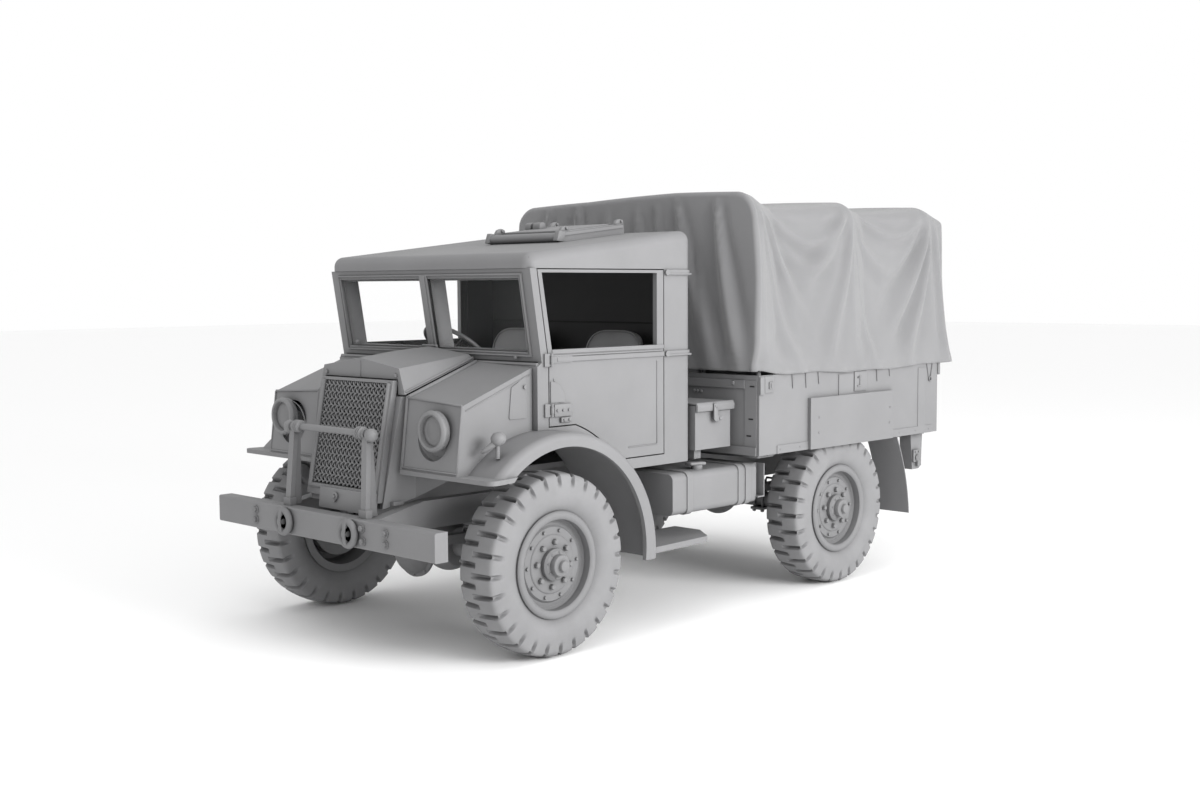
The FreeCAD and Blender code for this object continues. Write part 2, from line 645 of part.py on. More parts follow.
def nose_shell():
    grille_depth = 34
    top = 1352
    rear = -60
    rear_rise = 150
    front_y = grille_y(NOSE_BOTTOM) + grille_depth + SEAT_GAP
    top_front_y = grille_y(top) + grille_depth + SEAT_GAP
    behind_y = top_front_y + grille_depth * 2
    flank = along_x(GRILLE_HALF - NOSE_SKIN * 4, BOX_INNER_X - SEAT_GAP,
                    (front_y, NOSE_BOTTOM), (top_front_y, top), (rear, top), (rear, NOSE_BOTTOM + rear_rise))
    inner = along_z(NOSE_BOTTOM - OVERRUN, top + OVERRUN,
                    (0, front_y - OVERRUN), (GRILLE_HALF - NOSE_SKIN, front_y - OVERRUN),
                    (GRILLE_HALF - NOSE_SKIN, top_front_y),
                    (BOX_INNER_X - NOSE_SKIN * 2, rear / 2 + top_front_y / 2),
                    (BOX_INNER_X - NOSE_SKIN * 2, rear + OVERRUN), (0, rear + OVERRUN))
    outer = along_z(NOSE_BOTTOM - OVERRUN, top + OVERRUN,
                    (GRILLE_HALF, front_y - OVERRUN), (BOX_INNER_X + OVERRUN, front_y - OVERRUN),
                    (BOX_INNER_X + OVERRUN, behind_y), (BOX_INNER_X - SEAT_GAP, behind_y))
    flank = cut(flank, inner, outer)
    core = along_x(-GRILLE_HALF + NOSE_SKIN * 5, GRILLE_HALF - NOSE_SKIN * 5,
                   (grille_y(GRILLE_FOOT_Z) + grille_depth * 2, NOSE_BOTTOM + OVERRUN),
                   (grille_y(GRILLE_FOOT_Z) + grille_depth * 4, NOSE_BOTTOM + OVERRUN),
                   (grille_y(top) + grille_depth * 4, top), (grille_y(top) + grille_depth * 2, top))
    apron = along_x(-GRILLE_HALF + NOSE_SKIN * 2, GRILLE_HALF - NOSE_SKIN * 2,
                    (front_y, NOSE_BOTTOM),
                    (grille_y(GRILLE_FOOT_Z + OVERRUN) + grille_depth + SEAT_GAP, GRILLE_FOOT_Z + OVERRUN),
                    (grille_y(GRILLE_FOOT_Z + OVERRUN) + grille_depth * 2 + NOSE_SKIN, GRILLE_FOOT_Z + OVERRUN),
                    (front_y + grille_depth + NOSE_SKIN, NOSE_BOTTOM))
    tie = box(-BOX_INNER_X + NOSE_SKIN * 3, BOX_INNER_X - NOSE_SKIN * 3, grille_y(GRILLE_FOOT_Z) + grille_depth * 2,
              grille_y(GRILLE_FOOT_Z) + grille_depth * 4, NOSE_BOTTOM + OVERRUN, NOSE_BOTTOM + OVERRUN * 2)
    return fused(flank, mirrored(flank), core, apron, tie)


MESH_WIDTH = 32            # width and height of one diamond of the mesh
MESH_HEIGHT = 28
MESH_BAR = 7
MESH_SHEET = 4


def grille_slab(half, low, high, front, rear):
    """Prism that leans with the nose, between two heights and two depths behind its plane."""
    return along_x(-half, half, (grille_y(low) + front, low), (grille_y(high) + front, high),
                   (grille_y(high) + rear, high), (grille_y(low) + rear, low))


def grille():
    depth = 34
    bead = 30
    frame = grille_slab(GRILLE_HALF, GRILLE_FOOT_Z, GRILLE_TOP_Z, 0, depth)
    low = GRILLE_FOOT_Z + bead * 2
    high = GRILLE_TOP_Z - bead / 2
    frame = cut(frame, grille_slab(MESH_HALF, low, high, -OVERRUN, depth + OVERRUN))
    edge = 13
    corners = [V(x, grille_y(z), z) for x, z in ((-MESH_HALF - edge, low - edge), (MESH_HALF + edge, low - edge),
                                                 (MESH_HALF + edge, high), (-MESH_HALF - edge, high))]
    beads = [rod(corners[i], corners[(i + 1) % len(corners)], edge) for i in (0, 1, 3)]
    beads += [Part.makeSphere(edge, corners[i]) for i in (0, 1)]
    frame = fused(frame, *beads)
    mesh_front = 12
    bars = []
    rise = high - low
    run = rise * MESH_WIDTH / MESH_HEIGHT
    reach = MESH_SHEET * 2
    over = reach * MESH_WIDTH / MESH_HEIGHT
    half = MESH_HALF + MESH_SHEET
    for turn in (-1, 1):
        front = mesh_front if turn > 0 else mesh_front + MESH_SHEET + SEAT_GAP
        layer = grille_slab(half, low - MESH_SHEET, high + MESH_SHEET, front, front + MESH_SHEET)
        count = math.ceil((2 * half + run) / MESH_WIDTH)
        for i in range(count):
            foot = -half - run + (i + 0.5) * MESH_WIDTH
            bar = along_y(grille_y(low) - OVERRUN, grille_y(high) + depth + OVERRUN,
                          (turn * (foot - over), low - reach), (turn * (foot + MESH_BAR - over), low - reach),
                          (turn * (foot + MESH_BAR + run + over), high + reach),
                          (turn * (foot + run + over), high + reach))
            bars += [piece for piece in layer.common(bar).Solids if piece.Volume > MESH_BAR ** 3]
    return frame.fuse(bars)


# Front wings: a lamp box with a sloping top beside the bonnet, and a crowned guard over the wheel down to the step
LINER_INNER_X = 500
BOX_FRONT_Y = -454
BOX_FRONT_LOW_Y = -500
BOX_TOP_FRONT_Z = 1327
BOX_TOP_REAR_Z = 1499
BOX_INNER_FRONT_Z = 1350
BOX_INNER_REAR_Z = 1518
BOX_REAR_Y = 22
BOX_BOTTOM_Z = 975
LAMP_X = 667
LAMP_Z = 1194
LAMP_RECESS = 124
LAMP_RECESS_X = 628
LAMP_RECESS_Z = 1160
LAMP_RECESS_DEPTH = 70
STEP_REAR = 1376
STEP_TIP_Y = 1240
STEP_TIP_X = 1012
STEP_REAR_X = 838
STEP_INNER_X = 640
STEP_TOP = 474
STEP_THICKNESS = 34
STEP_TIP_SHARE = 0.7       # where the tip's curve ends on the slant behind it
STEP_STAY = 50
WING_LIP = 26


BEAD_RADIUS = 9
FLARE_THICKNESS = 24
CROWN_SHOULDER = 38
GUARD_BOTTOM = 420
FLAP_Y = -145              # front lower corner of the access flap in the lamp box's outer side
FLAP_Z = 1238
FLAP_LENGTH = 122
FLAP_HEIGHT = 164
FLAP_LEAN = 18             # the flap's front edge leans back
FLAP_RISE = 58             # its top edge rises to the rear with the box
FLAP_DEPTH = 5


def lamp_box():
    """Box beside the bonnet, with flat sides and a top that rises to the rear and to the bonnet."""
    bottom = [V(BOX_INNER_X, BOX_FRONT_LOW_Y, BOX_BOTTOM_Z), V(BOX_OUTER_X, BOX_FRONT_LOW_Y, BOX_BOTTOM_Z),
              V(BOX_OUTER_X, BOX_REAR_Y, BOX_BOTTOM_Z), V(BOX_INNER_X, BOX_REAR_Y, BOX_BOTTOM_Z)]
    top = [V(BOX_INNER_X, BOX_FRONT_Y, BOX_INNER_FRONT_Z), V(BOX_OUTER_X, BOX_FRONT_Y, BOX_TOP_FRONT_Z),
           V(BOX_OUTER_X, BOX_REAR_Y, BOX_TOP_REAR_Z), V(BOX_INNER_X, BOX_REAR_Y, BOX_INNER_REAR_Z)]
    return hull_between(bottom, top)


def lamp_box_trim():
    """Access flap with its knob in the outer side, and the bead along the inner top edge and inner front edge."""
    flap_top = FLAP_Z + FLAP_HEIGHT
    flap = along_x(BOX_OUTER_X - FLAP_DEPTH, BOX_OUTER_X + FLAP_DEPTH, (FLAP_Y, FLAP_Z),
                   (FLAP_Y + FLAP_LEAN, flap_top), (FLAP_Y + FLAP_LENGTH, flap_top + FLAP_RISE),
                   (FLAP_Y + FLAP_LENGTH, FLAP_Z))
    flap = rounded(flap, FLAP_DEPTH * 2, ALONG_X)
    knob_y = FLAP_Y + FLAP_LENGTH - FLAP_DEPTH * 3
    knob = rod(V(BOX_OUTER_X, knob_y, flap_top), V(BOX_OUTER_X + FLAP_DEPTH * 3, knob_y, flap_top), FLAP_DEPTH * 2)
    x = BOX_INNER_X + BEAD_RADIUS / 3
    corner = V(x, BOX_FRONT_Y + BEAD_RADIUS / 3, BOX_INNER_FRONT_Z)
    rear = V(x, BOX_REAR_Y - BEAD_RADIUS, BOX_INNER_REAR_Z - BEAD_RADIUS / 3)
    foot = V(x, BOX_FRONT_LOW_Y + BEAD_RADIUS / 3, BOX_BOTTOM_Z)
    return [flap, knob, rod(rear, corner, BEAD_RADIUS), Part.makeSphere(BEAD_RADIUS, corner),
            rod(corner, foot, BEAD_RADIUS)]


def wing_crown():
    """Arched guard over the wheel with a rounded shoulder, and the flat flare along its front edge."""
    crown = Part.makeCylinder(WING_RADIUS, WING_OUTER_X - LINER_INNER_X, V(LINER_INNER_X, ARCH_Y, ARCH_Z), ALONG_X)
    crown = crown.makeFillet(CROWN_SHOULDER, [e for e in crown.Edges if e.BoundBox.XMin > WING_OUTER_X - EDGE])
    front_cut = box(LINER_INNER_X - OVERRUN, WING_OUTER_X + OVERRUN, ARCH_Y - WING_RADIUS - OVERRUN, ARCH_Y,
                    ARCH_Z - WING_RADIUS - OVERRUN, WING_LIP_Z)
    low_cut = box(LINER_INNER_X - OVERRUN, WING_OUTER_X + OVERRUN, ARCH_Y - OVERRUN, ARCH_Y + WING_RADIUS + OVERRUN,
                  ARCH_Z - WING_RADIUS - OVERRUN, GUARD_BOTTOM)
    crown = cut(crown, front_cut, low_cut)
    flare_rear = ARCH_Y - ARCH_RADIUS / 2
    flare = along_z(WING_LIP_Z, WING_LIP_Z + FLARE_THICKNESS, (BOX_INNER_X, WING_FRONT), (FLARE_X, WING_FRONT),
                    (FLARE_X, BOX_FRONT_Y), (WING_OUTER_X, flare_rear), (BOX_INNER_X, flare_rear))
    flare = rounded(flare, FLARE_X - WING_OUTER_X, ALONG_Z,
                    lambda p: p.x > FLARE_X - EDGE and p.y < WING_FRONT + EDGE)
    return fused(crown, flare)


def wing_step():
    """Step behind the guard's foot that narrows to a rounded tip, with its stay to the frame."""
    bottom = STEP_TOP - STEP_THICKNESS
    outer_x = WING_OUTER_X - WING_LIP
    front = ARCH_Y + WING_RADIUS - WING_SKIN
    tip = STEP_TIP_X * STEP_TIP_SHARE + STEP_REAR_X * (1 - STEP_TIP_SHARE)
    tip_y = STEP_TIP_Y * STEP_TIP_SHARE + STEP_REAR * (1 - STEP_TIP_SHARE)
    step = along_z(bottom, STEP_TOP, (STEP_INNER_X, front), (outer_x, front), (STEP_TIP_X, STEP_TIP_Y - STEP_STAY),
                   ((STEP_TIP_X - STEP_THICKNESS / 4, STEP_TIP_Y), (tip, tip_y)), (STEP_REAR_X, STEP_REAR),
                   (STEP_INNER_X, STEP_REAR))
    stay_y = front + STEP_STAY
    stay = box(RAIL_OUTER_X + SEAT_GAP, STEP_INNER_X + OVERRUN, stay_y, stay_y + STEP_STAY,
               bottom, bottom + WING_SKIN)
    stay_foot = box(RAIL_OUTER_X + SEAT_GAP, RAIL_OUTER_X + WING_SKIN, stay_y, stay_y + STEP_STAY,
                    bottom, RAIL_TOP - OVERRUN)
    return fused(step, stay, stay_foot)


def wing():
    mouth = Part.makeCylinder(ARCH_RADIUS, WING_OUTER_X + OVERRUN, V(0, ARCH_Y, ARCH_Z + ARCH_LIFT), ALONG_X)
    liner = Part.makeCylinder(WING_RADIUS - WING_SKIN, WING_OUTER_X - WING_LIP, V(0, ARCH_Y, ARCH_Z), ALONG_X)
    recess = rod(V(LAMP_RECESS_X, BOX_FRONT_LOW_Y - OVERRUN, LAMP_RECESS_Z),
                 V(LAMP_RECESS_X, BOX_FRONT_Y + LAMP_RECESS_DEPTH, LAMP_RECESS_Z), LAMP_RECESS)
    shell = cut(fused(lamp_box(), wing_crown()), liner, mouth, recess)
    for piece in lamp_box_trim():
        shell = shell.fuse([piece])
    return fused(shell, wing_step())


# Lamps: headlamps in the recesses, ball side lamps on the wings and small tail lamps
def headlamp():
    body_radius = 76
    ring_radius = 103
    ring_depth = 22
    ring_edge = 10
    y_face = -508
    back = BOX_FRONT_Y + LAMP_RECESS_DEPTH - SEAT_GAP
    glass = rod(V(LAMP_X, y_face + ring_depth / 2, LAMP_Z), V(LAMP_X, y_face + ring_depth, LAMP_Z), body_radius)
    neck_radius = LAMP_RECESS - math.hypot(LAMP_X - LAMP_RECESS_X, LAMP_Z - LAMP_RECESS_Z) - MOVE_GAP
    neck = rod(V(LAMP_X, y_face + ring_depth, LAMP_Z), V(LAMP_X, back, LAMP_Z), neck_radius)
    ring = Part.makeCylinder(ring_radius, ring_depth, V(LAMP_X, y_face, LAMP_Z), ALONG_Y)
    ring = ring.makeFillet(ring_edge, [e for e in ring.Edges if e.BoundBox.YMax < y_face + EDGE])
    hollow = Part.makeCone(body_radius + ring_edge, body_radius - ring_edge / 2, ring_depth + EDGE,
                           V(LAMP_X, y_face - EDGE / 2, LAMP_Z), ALONG_Y)
    return fused(cut(ring, hollow), glass, neck)


def side_lamp():
    radius = 33
    x = 950
    y = -328
    stalk = 12
    stalk_height = 62
    crown_z = ARCH_Z + math.sqrt(WING_RADIUS ** 2 - (y + stalk - ARCH_Y) ** 2)
    return fused(Part.makeSphere(radius, V(x, y, crown_z + radius + stalk_height)),
                 rod(V(x, y, crown_z + SEAT_GAP), V(x, y, crown_z + stalk_height + radius), stalk))


# Cab: floor, front bulkhead, pillars and rear wall in one shell, with door and windscreen openings
SCREEN_SIDE = 64
SCREEN_OPENING_HALF = CAB_HALF - SCREEN_SIDE
SCREEN_OPENING_LOW = 1552
SCREEN_OPENING_HIGH = 1994
CAB_FRONT = 26


def screen_y(z):
    return SCREEN_FOOT_Y + (SCREEN_HEAD_Y - SCREEN_FOOT_Y) * (z - CAB_BELT) / (CAB_TOP - CAB_BELT)


def door_outline(gap, top=CAB_TOP - MOVE_GAP):
    """The door's edge as seen from the side, grown outwards by a gap; the lower front follows the wing."""
    lean = SCREEN_FOOT_Y - SCREEN_HEAD_Y
    radius = WING_RADIUS + DOOR_FROM_WING - gap
    low_front_z = ARCH_Z + WING_RADIUS + DOOR_SILL - gap
    start = math.asin((low_front_z - ARCH_Z) / radius)
    end = math.asin((DOOR_BOTTOM - gap - ARCH_Z) / radius)
    first, through, last = [(ARCH_Y + radius * math.cos(angle), ARCH_Z + radius * math.sin(angle))
                            for angle in (start, (start + end) / 2, end)]
    return ((DOOR_FRONT - gap, low_front_z), first, (through, last),
            (DOOR_REAR + gap, DOOR_BOTTOM - gap), (DOOR_REAR + gap, top + gap),
            (DOOR_FRONT - lean - gap, top + gap), (DOOR_FRONT - gap, CAB_BELT))


DOOR_FROM_WING = 57        # how far outside the wing's crown the door's lower front edge runs
DOOR_SILL = 16
DOOR_HINGE_RADIUS = 11
DOOR_KNUCKLE_RADIUS = 9
DOOR_HINGE_X = CAB_HALF + DOOR_HINGE_RADIUS
DOOR_HINGE_Y = 120
DOOR_HINGE_LENGTH = 34
DOOR_HINGE_HEIGHTS = (1271, 1537)
DOOR_STRAP = 6
DOOR_STRAP_LENGTH = 158


def door_hinge_leaves():
    """Knuckles, pin and leaf that stay on the cab at each door hinge of the left side."""
    leaves = []
    for z in DOOR_HINGE_HEIGHTS:
        leaf_front = DOOR_FRONT - DOOR_GAP - DOOR_HINGE_LENGTH
        foot = box(CAB_HALF, DOOR_HINGE_X, leaf_front, DOOR_FRONT - DOOR_GAP, z - DOOR_HINGE_LENGTH,
                   z + DOOR_HINGE_LENGTH)
        leaves.append(foot)
        for s in (-1, 1):
            middle = z + s * DOOR_HINGE_LENGTH * LEAF_SHARE
            width = DOOR_HINGE_LENGTH * LEAF_WIDTH_SHARE / 2
            leaves.append(box(DOOR_HINGE_X - DOOR_KNUCKLE_RADIUS / 2, DOOR_HINGE_X, leaf_front, DOOR_HINGE_Y,
                              middle - width, middle + width))
        leaves.append(hinge_pin(V(DOOR_HINGE_X, DOOR_HINGE_Y, z), ALONG_Z, DOOR_HINGE_LENGTH, DOOR_KNUCKLE_RADIUS))
    return leaves


BONNET_HINGE_Y = 16
BONNET_HINGE_Z = 1596
BONNET_HINGE_RADIUS = 7
BONNET_KNUCKLE_RADIUS = 6
BONNET_HINGE_LENGTH = 60


def bonnet_hinge_bracket():
    """Uprights on the cowl that carry the bonnet's hinge pin."""
    centre = V(0, BONNET_HINGE_Y, BONNET_HINGE_Z)
    upright_y = BONNET_HINGE_Y + MOVE_GAP
    thickness = 8
    foot_z = CAB_BELT - OVERRUN
    half = BONNET_HINGE_LENGTH * LEAF_WIDTH_SHARE
    plates = [hinge_pin(centre, ALONG_X, BONNET_HINGE_LENGTH, BONNET_KNUCKLE_RADIUS)]
    for s in (-1, 1):
        middle = s * BONNET_HINGE_LENGTH * LEAF_SHARE
        x0 = middle - half / 2
        x1 = middle + half / 2
        plates.append(box(x0, x1, upright_y, upright_y + thickness, foot_z, BONNET_HINGE_Z))
        plates.append(box(x0, x1, BONNET_HINGE_Y, upright_y + thickness, BONNET_HINGE_Z - thickness / 2,
                          BONNET_HINGE_Z + thickness / 2))
        plates.append(box(x0, x1, upright_y, SCREEN_FOOT_Y, foot_z, CAB_BELT + thickness))
    return plates


CAB_CORNER = 62
CAB_RAIL = 10              # how far the cab's rails stand out
CAB_RAIL_HEIGHT = 30
BELT_RAIL_Z = 1522
DRIP_RAIL_Z = 1984
CAB_RAIL_KNOB = 17


def cab_rails():
    """Rails that wrap the cab's rear from door to door at belt and roof height, each with a knob at its ends."""
    front = DOOR_REAR + DOOR_GAP + CAB_RAIL_KNOB
    rails = []
    for low in (BELT_RAIL_Z, DRIP_RAIL_Z):
        high = low + CAB_RAIL_HEIGHT
        band = box(-CAB_HALF - CAB_RAIL, CAB_HALF + CAB_RAIL, front, CAB_REAR + CAB_RAIL, low, high)
        band = rounded(band, CAB_CORNER + CAB_RAIL, ALONG_Z, lambda p: p.y > CAB_REAR)
        inside = box(-CAB_HALF + CAB_RAIL, CAB_HALF - CAB_RAIL, front - OVERRUN, CAB_REAR - CAB_RAIL,
                     low - OVERRUN, high + OVERRUN)
        inside = rounded(inside, CAB_CORNER - CAB_RAIL, ALONG_Z, lambda p: p.y > front)
        rails.append(cut(band, inside))
        for side in (-1, 1):
            rails.append(rod(V(side * (CAB_HALF - CAB_RAIL), front, (low + high) / 2),
                             V(side * (CAB_HALF + CAB_RAIL * 1.5), front, (low + high) / 2), CAB_RAIL_KNOB))
    return rails


def cab_body():
    outer = along_x(-CAB_HALF, CAB_HALF, (CAB_FRONT, CAB_FLOOR_BOTTOM), (CAB_FRONT, CAB_BELT - OVERRUN),
                    (SCREEN_FOOT_Y, CAB_BELT), (SCREEN_HEAD_Y, CAB_TOP), (CAB_REAR, CAB_TOP),
                    (CAB_REAR, CAB_FLOOR_BOTTOM))
    outer = rounded(outer, CAB_CORNER, ALONG_Z, lambda p: p.y > CAB_REAR - EDGE)
    floor_top = CAB_FLOOR_BOTTOM + CAB_WALL
    inner = along_x(-CAB_HALF + CAB_WALL, CAB_HALF - CAB_WALL,
                    (CAB_FRONT + CAB_WALL, floor_top), (CAB_FRONT + CAB_WALL, CAB_BELT - OVERRUN),
                    (SCREEN_FOOT_Y + CAB_WALL, CAB_BELT), (SCREEN_HEAD_Y + CAB_WALL, CAB_TOP + OVERRUN),
                    (CAB_REAR - CAB_WALL, CAB_TOP + OVERRUN), (CAB_REAR - CAB_WALL, floor_top))
    shell = cut(outer, inner)
    doors = along_x(-CAB_HALF - OVERRUN, CAB_HALF + OVERRUN, *door_outline(DOOR_GAP))
    screen = along_x(-SCREEN_OPENING_HALF, SCREEN_OPENING_HALF,
                     (screen_y(SCREEN_OPENING_LOW) - OVERRUN, SCREEN_OPENING_LOW),
                     (screen_y(SCREEN_OPENING_HIGH) - OVERRUN, SCREEN_OPENING_HIGH),
                     (screen_y(SCREEN_OPENING_HIGH) + CAB_WALL + OVERRUN, SCREEN_OPENING_HIGH),
                     (screen_y(SCREEN_OPENING_LOW) + CAB_WALL + OVERRUN, SCREEN_OPENING_LOW))
    arches = []
    for side in (-1, 1):
        start = side * (LINER_INNER_X - SEAT_GAP)
        arches.append(Part.makeCylinder(WING_RADIUS + SEAT_GAP, CAB_HALF, V(start, ARCH_Y, ARCH_Z),
                                        V(side, 0, 0)))
    tunnel_half = ENGINE_HALF + OVERRUN
    tunnel_rear = ENGINE_REAR + OVERRUN * 2
    tunnel_top = ENGINE_TOP + OVERRUN
    hole = box(-tunnel_half, tunnel_half, CAB_FRONT - OVERRUN, tunnel_rear, CAB_FLOOR_BOTTOM - OVERRUN, tunnel_top)
    cover = box(-tunnel_half - WING_SKIN, tunnel_half + WING_SKIN, CAB_FRONT, tunnel_rear + WING_SKIN,
                CAB_FLOOR_BOTTOM, tunnel_top + WING_SKIN)
    shell = cut(fused(shell, cover, *cab_rails()), doors, screen, hole, *arches)
    cowl_bead = rod(V(BOX_INNER_X + CAB_RAIL, CAB_FRONT + CAB_RAIL, CAB_BELT - CAB_RAIL),
                    V(CAB_HALF - CAB_RAIL, CAB_FRONT + CAB_RAIL, CAB_BELT - CAB_RAIL), CAB_RAIL - SEAT_GAP)
    leaves = door_hinge_leaves()
    return fused(shell, *leaves, *[mirrored(leaf) for leaf in leaves], *both(cowl_bead), *bonnet_hinge_bracket())


# Roof: a pressed skin that rises to the rear, with rounded edges and a hatch opening on the left
ROOF_FRONT_Z = 2096
ROOF_REAR_Z = 2246
ROOF_EAVE = 10
ROOF_SKIN = 24
ROOF_FRONT_Y = -30
HATCH_X0 = -190
HATCH_X1 = 400
HATCH_FRONT = 690
HATCH_REAR = 1190
HATCH_RIM = 16
HATCH_RIM_HEIGHT = 34
HATCH_LID = 18
HATCH_ROLL = 27             # radius of the rolled front edge of the lid


def roof_z(y):
    return ROOF_FRONT_Z + (ROOF_REAR_Z - ROOF_FRONT_Z) * (y - ROOF_FRONT_Y) / (CAB_REAR - ROOF_FRONT_Y)


HATCH_HINGE_RADIUS = 8
HATCH_KNUCKLE_RADIUS = 5
HATCH_HINGE_LENGTH = 70
HATCH_HINGE_Y = HATCH_REAR + MOVE_GAP
HATCH_HINGE_Z = roof_z(HATCH_REAR) + HATCH_RIM_HEIGHT + HATCH_LID / 2
HATCH_HINGE_SHARES = (0.2, 0.8)


def hatch_hinge_centre(share):
    return V(HATCH_X0 + (HATCH_X1 - HATCH_X0) * share, HATCH_HINGE_Y, HATCH_HINGE_Z)


def hatch_hinge_leaves():
    leaves = []
    for share in HATCH_HINGE_SHARES:
        centre = hatch_hinge_centre(share)
        leaves.append(hinge_pin(centre, ALONG_X, HATCH_HINGE_LENGTH, HATCH_KNUCKLE_RADIUS))
        for s in (-1, 1):
            middle = centre.x + s * HATCH_HINGE_LENGTH * LEAF_SHARE
            width = HATCH_HINGE_LENGTH * LEAF_WIDTH_SHARE / 2
            leaves.append(box(middle - width, middle + width, HATCH_REAR, HATCH_HINGE_Y + HATCH_KNUCKLE_RADIUS,
                              HATCH_HINGE_Z - HATCH_RIM_HEIGHT, HATCH_HINGE_Z))
    return leaves


def cab_roof():
    low = CAB_TOP + SEAT_GAP
    outer = along_x(-CAB_HALF, CAB_HALF, (ROOF_FRONT_Y, low), (ROOF_FRONT_Y, ROOF_FRONT_Z),
                    (CAB_REAR, ROOF_REAR_Z), (CAB_REAR, low))
    side_round = 62
    top_round = 58
    outer = rounded(outer, side_round, ALONG_Z)
    top_edges = [e for e in outer.Edges if e.BoundBox.ZMin > ROOF_FRONT_Z - EDGE]
    outer = outer.makeFillet(top_round, top_edges)
    inner = along_x(-CAB_HALF + ROOF_SKIN, CAB_HALF - ROOF_SKIN,
                    (ROOF_FRONT_Y + ROOF_SKIN, low - OVERRUN), (ROOF_FRONT_Y + ROOF_SKIN, ROOF_FRONT_Z - ROOF_SKIN),
                    (CAB_REAR - ROOF_SKIN, roof_z(CAB_REAR - ROOF_SKIN) - ROOF_SKIN),
                    (CAB_REAR - ROOF_SKIN, low - OVERRUN))
    inner = rounded(inner, side_round - ROOF_SKIN, ALONG_Z)
    top_edges = [e for e in inner.Edges if e.BoundBox.ZMin > ROOF_FRONT_Z - ROOF_SKIN - EDGE]
    inner = inner.makeFillet(top_round - ROOF_SKIN, top_edges)
    skin = cut(outer, inner)
    hole = box(HATCH_X0 + HATCH_RIM, HATCH_X1 - HATCH_RIM, HATCH_FRONT + HATCH_RIM, HATCH_REAR - HATCH_RIM,
               CAB_TOP, ROOF_REAR_Z + HATCH_RIM_HEIGHT * 2)
    rim_outer = along_x(HATCH_X0, HATCH_X1, (HATCH_FRONT, roof_z(HATCH_FRONT) - ROOF_SKIN / 2),
                        (HATCH_FRONT, roof_z(HATCH_FRONT) + HATCH_RIM_HEIGHT),
                        (HATCH_REAR, roof_z(HATCH_REAR) + HATCH_RIM_HEIGHT),
                        (HATCH_REAR, roof_z(HATCH_REAR) - ROOF_SKIN / 2))
    return fused(cut(fused(skin, rim_outer), hole), *hatch_hinge_leaves())


def hatch_lid():
    lift = HATCH_RIM_HEIGHT + SEAT_GAP
    edge = 10
    front = HATCH_FRONT - edge * 2
    lid = along_x(HATCH_X0 - edge, HATCH_X1 + edge,
                  (front, roof_z(front) + lift), (front, roof_z(front) + lift + HATCH_LID),
                  (HATCH_REAR, roof_z(HATCH_REAR) + lift + HATCH_LID),
                  (HATCH_REAR, roof_z(HATCH_REAR) + lift))
    lid = rounded(lid, edge * 2, ALONG_Z)
    roll_y = HATCH_FRONT - HATCH_ROLL - MOVE_GAP
    roll_z = roof_z(roll_y) + HATCH_ROLL + SEAT_GAP * 2
    roll = rod(V(HATCH_X0 - edge / 2, roll_y, roll_z), V(HATCH_X1 + edge / 2, roll_y, roll_z), HATCH_ROLL)
    lid = fused(lid, roll)
    for share in HATCH_HINGE_SHARES:
        lid = fused(lid, hinge_barrel(hatch_hinge_centre(share), ALONG_X, HATCH_HINGE_LENGTH, HATCH_HINGE_RADIUS,
                                      HATCH_KNUCKLE_RADIUS))
    return lid


# Windscreen: two framed panes and a centre pillar in the leaning opening
def leaning_prism(x0, x1, low, high, forward, backward):
    """Slab parallel to the windscreen between two heights, from in front of it to behind it."""
    return along_x(x0, x1, (screen_y(low) - forward, low), (screen_y(high) - forward, high),
                   (screen_y(high) + backward, high), (screen_y(low) + backward, low))


FRAME_BAR = 26
FRAME_FORWARD = 6
FRAME_DEPTH = 24
PILLAR_HALF = 22


def windscreen_frame():
    half = SCREEN_OPENING_HALF - SEAT_GAP
    outer = leaning_prism(-half, half, SCREEN_OPENING_LOW + SEAT_GAP, SCREEN_OPENING_HIGH - SEAT_GAP, FRAME_FORWARD,
                          FRAME_DEPTH)
    holes = []
    for side in (-1, 1):
        x0 = min(side * PILLAR_HALF, side * (SCREEN_OPENING_HALF - FRAME_BAR))
        x1 = max(side * PILLAR_HALF, side * (SCREEN_OPENING_HALF - FRAME_BAR))
        holes.append(leaning_prism(x0, x1, SCREEN_OPENING_LOW + FRAME_BAR, SCREEN_OPENING_HIGH - FRAME_BAR,
                                   FRAME_FORWARD + OVERRUN, FRAME_DEPTH + OVERRUN))
    return cut(outer, *holes)


def windscreen_glass():
    panes = []
    for side in (-1, 1):
        x0 = min(side * (PILLAR_HALF + SEAT_GAP), side * (SCREEN_OPENING_HALF - FRAME_BAR - SEAT_GAP))
        x1 = max(side * (PILLAR_HALF + SEAT_GAP), side * (SCREEN_OPENING_HALF - FRAME_BAR - SEAT_GAP))
        panes.append(leaning_prism(x0, x1, SCREEN_OPENING_LOW + FRAME_BAR + SEAT_GAP,
                                   SCREEN_OPENING_HIGH - FRAME_BAR - SEAT_GAP, -FRAME_DEPTH / 3, FRAME_DEPTH / 2))
    return panes


# Doors: a flat panel as thick as the whole door, with its window cut and the hinge strap outside
WINDOW_TOP = 1996
WINDOW_LOW = 1590
WINDOW_REAR = 960
WINDOW_FRONT_TOP = 62
WINDOW_FRONT_LOW = 132


DOOR_SKIN = 3              # raised panel on the door's outside
DOOR_FLANGE = 36
DOOR_RAIL = 8
HINGE_COVER_HEIGHT = 112
HINGE_COVER_LENGTH = 100


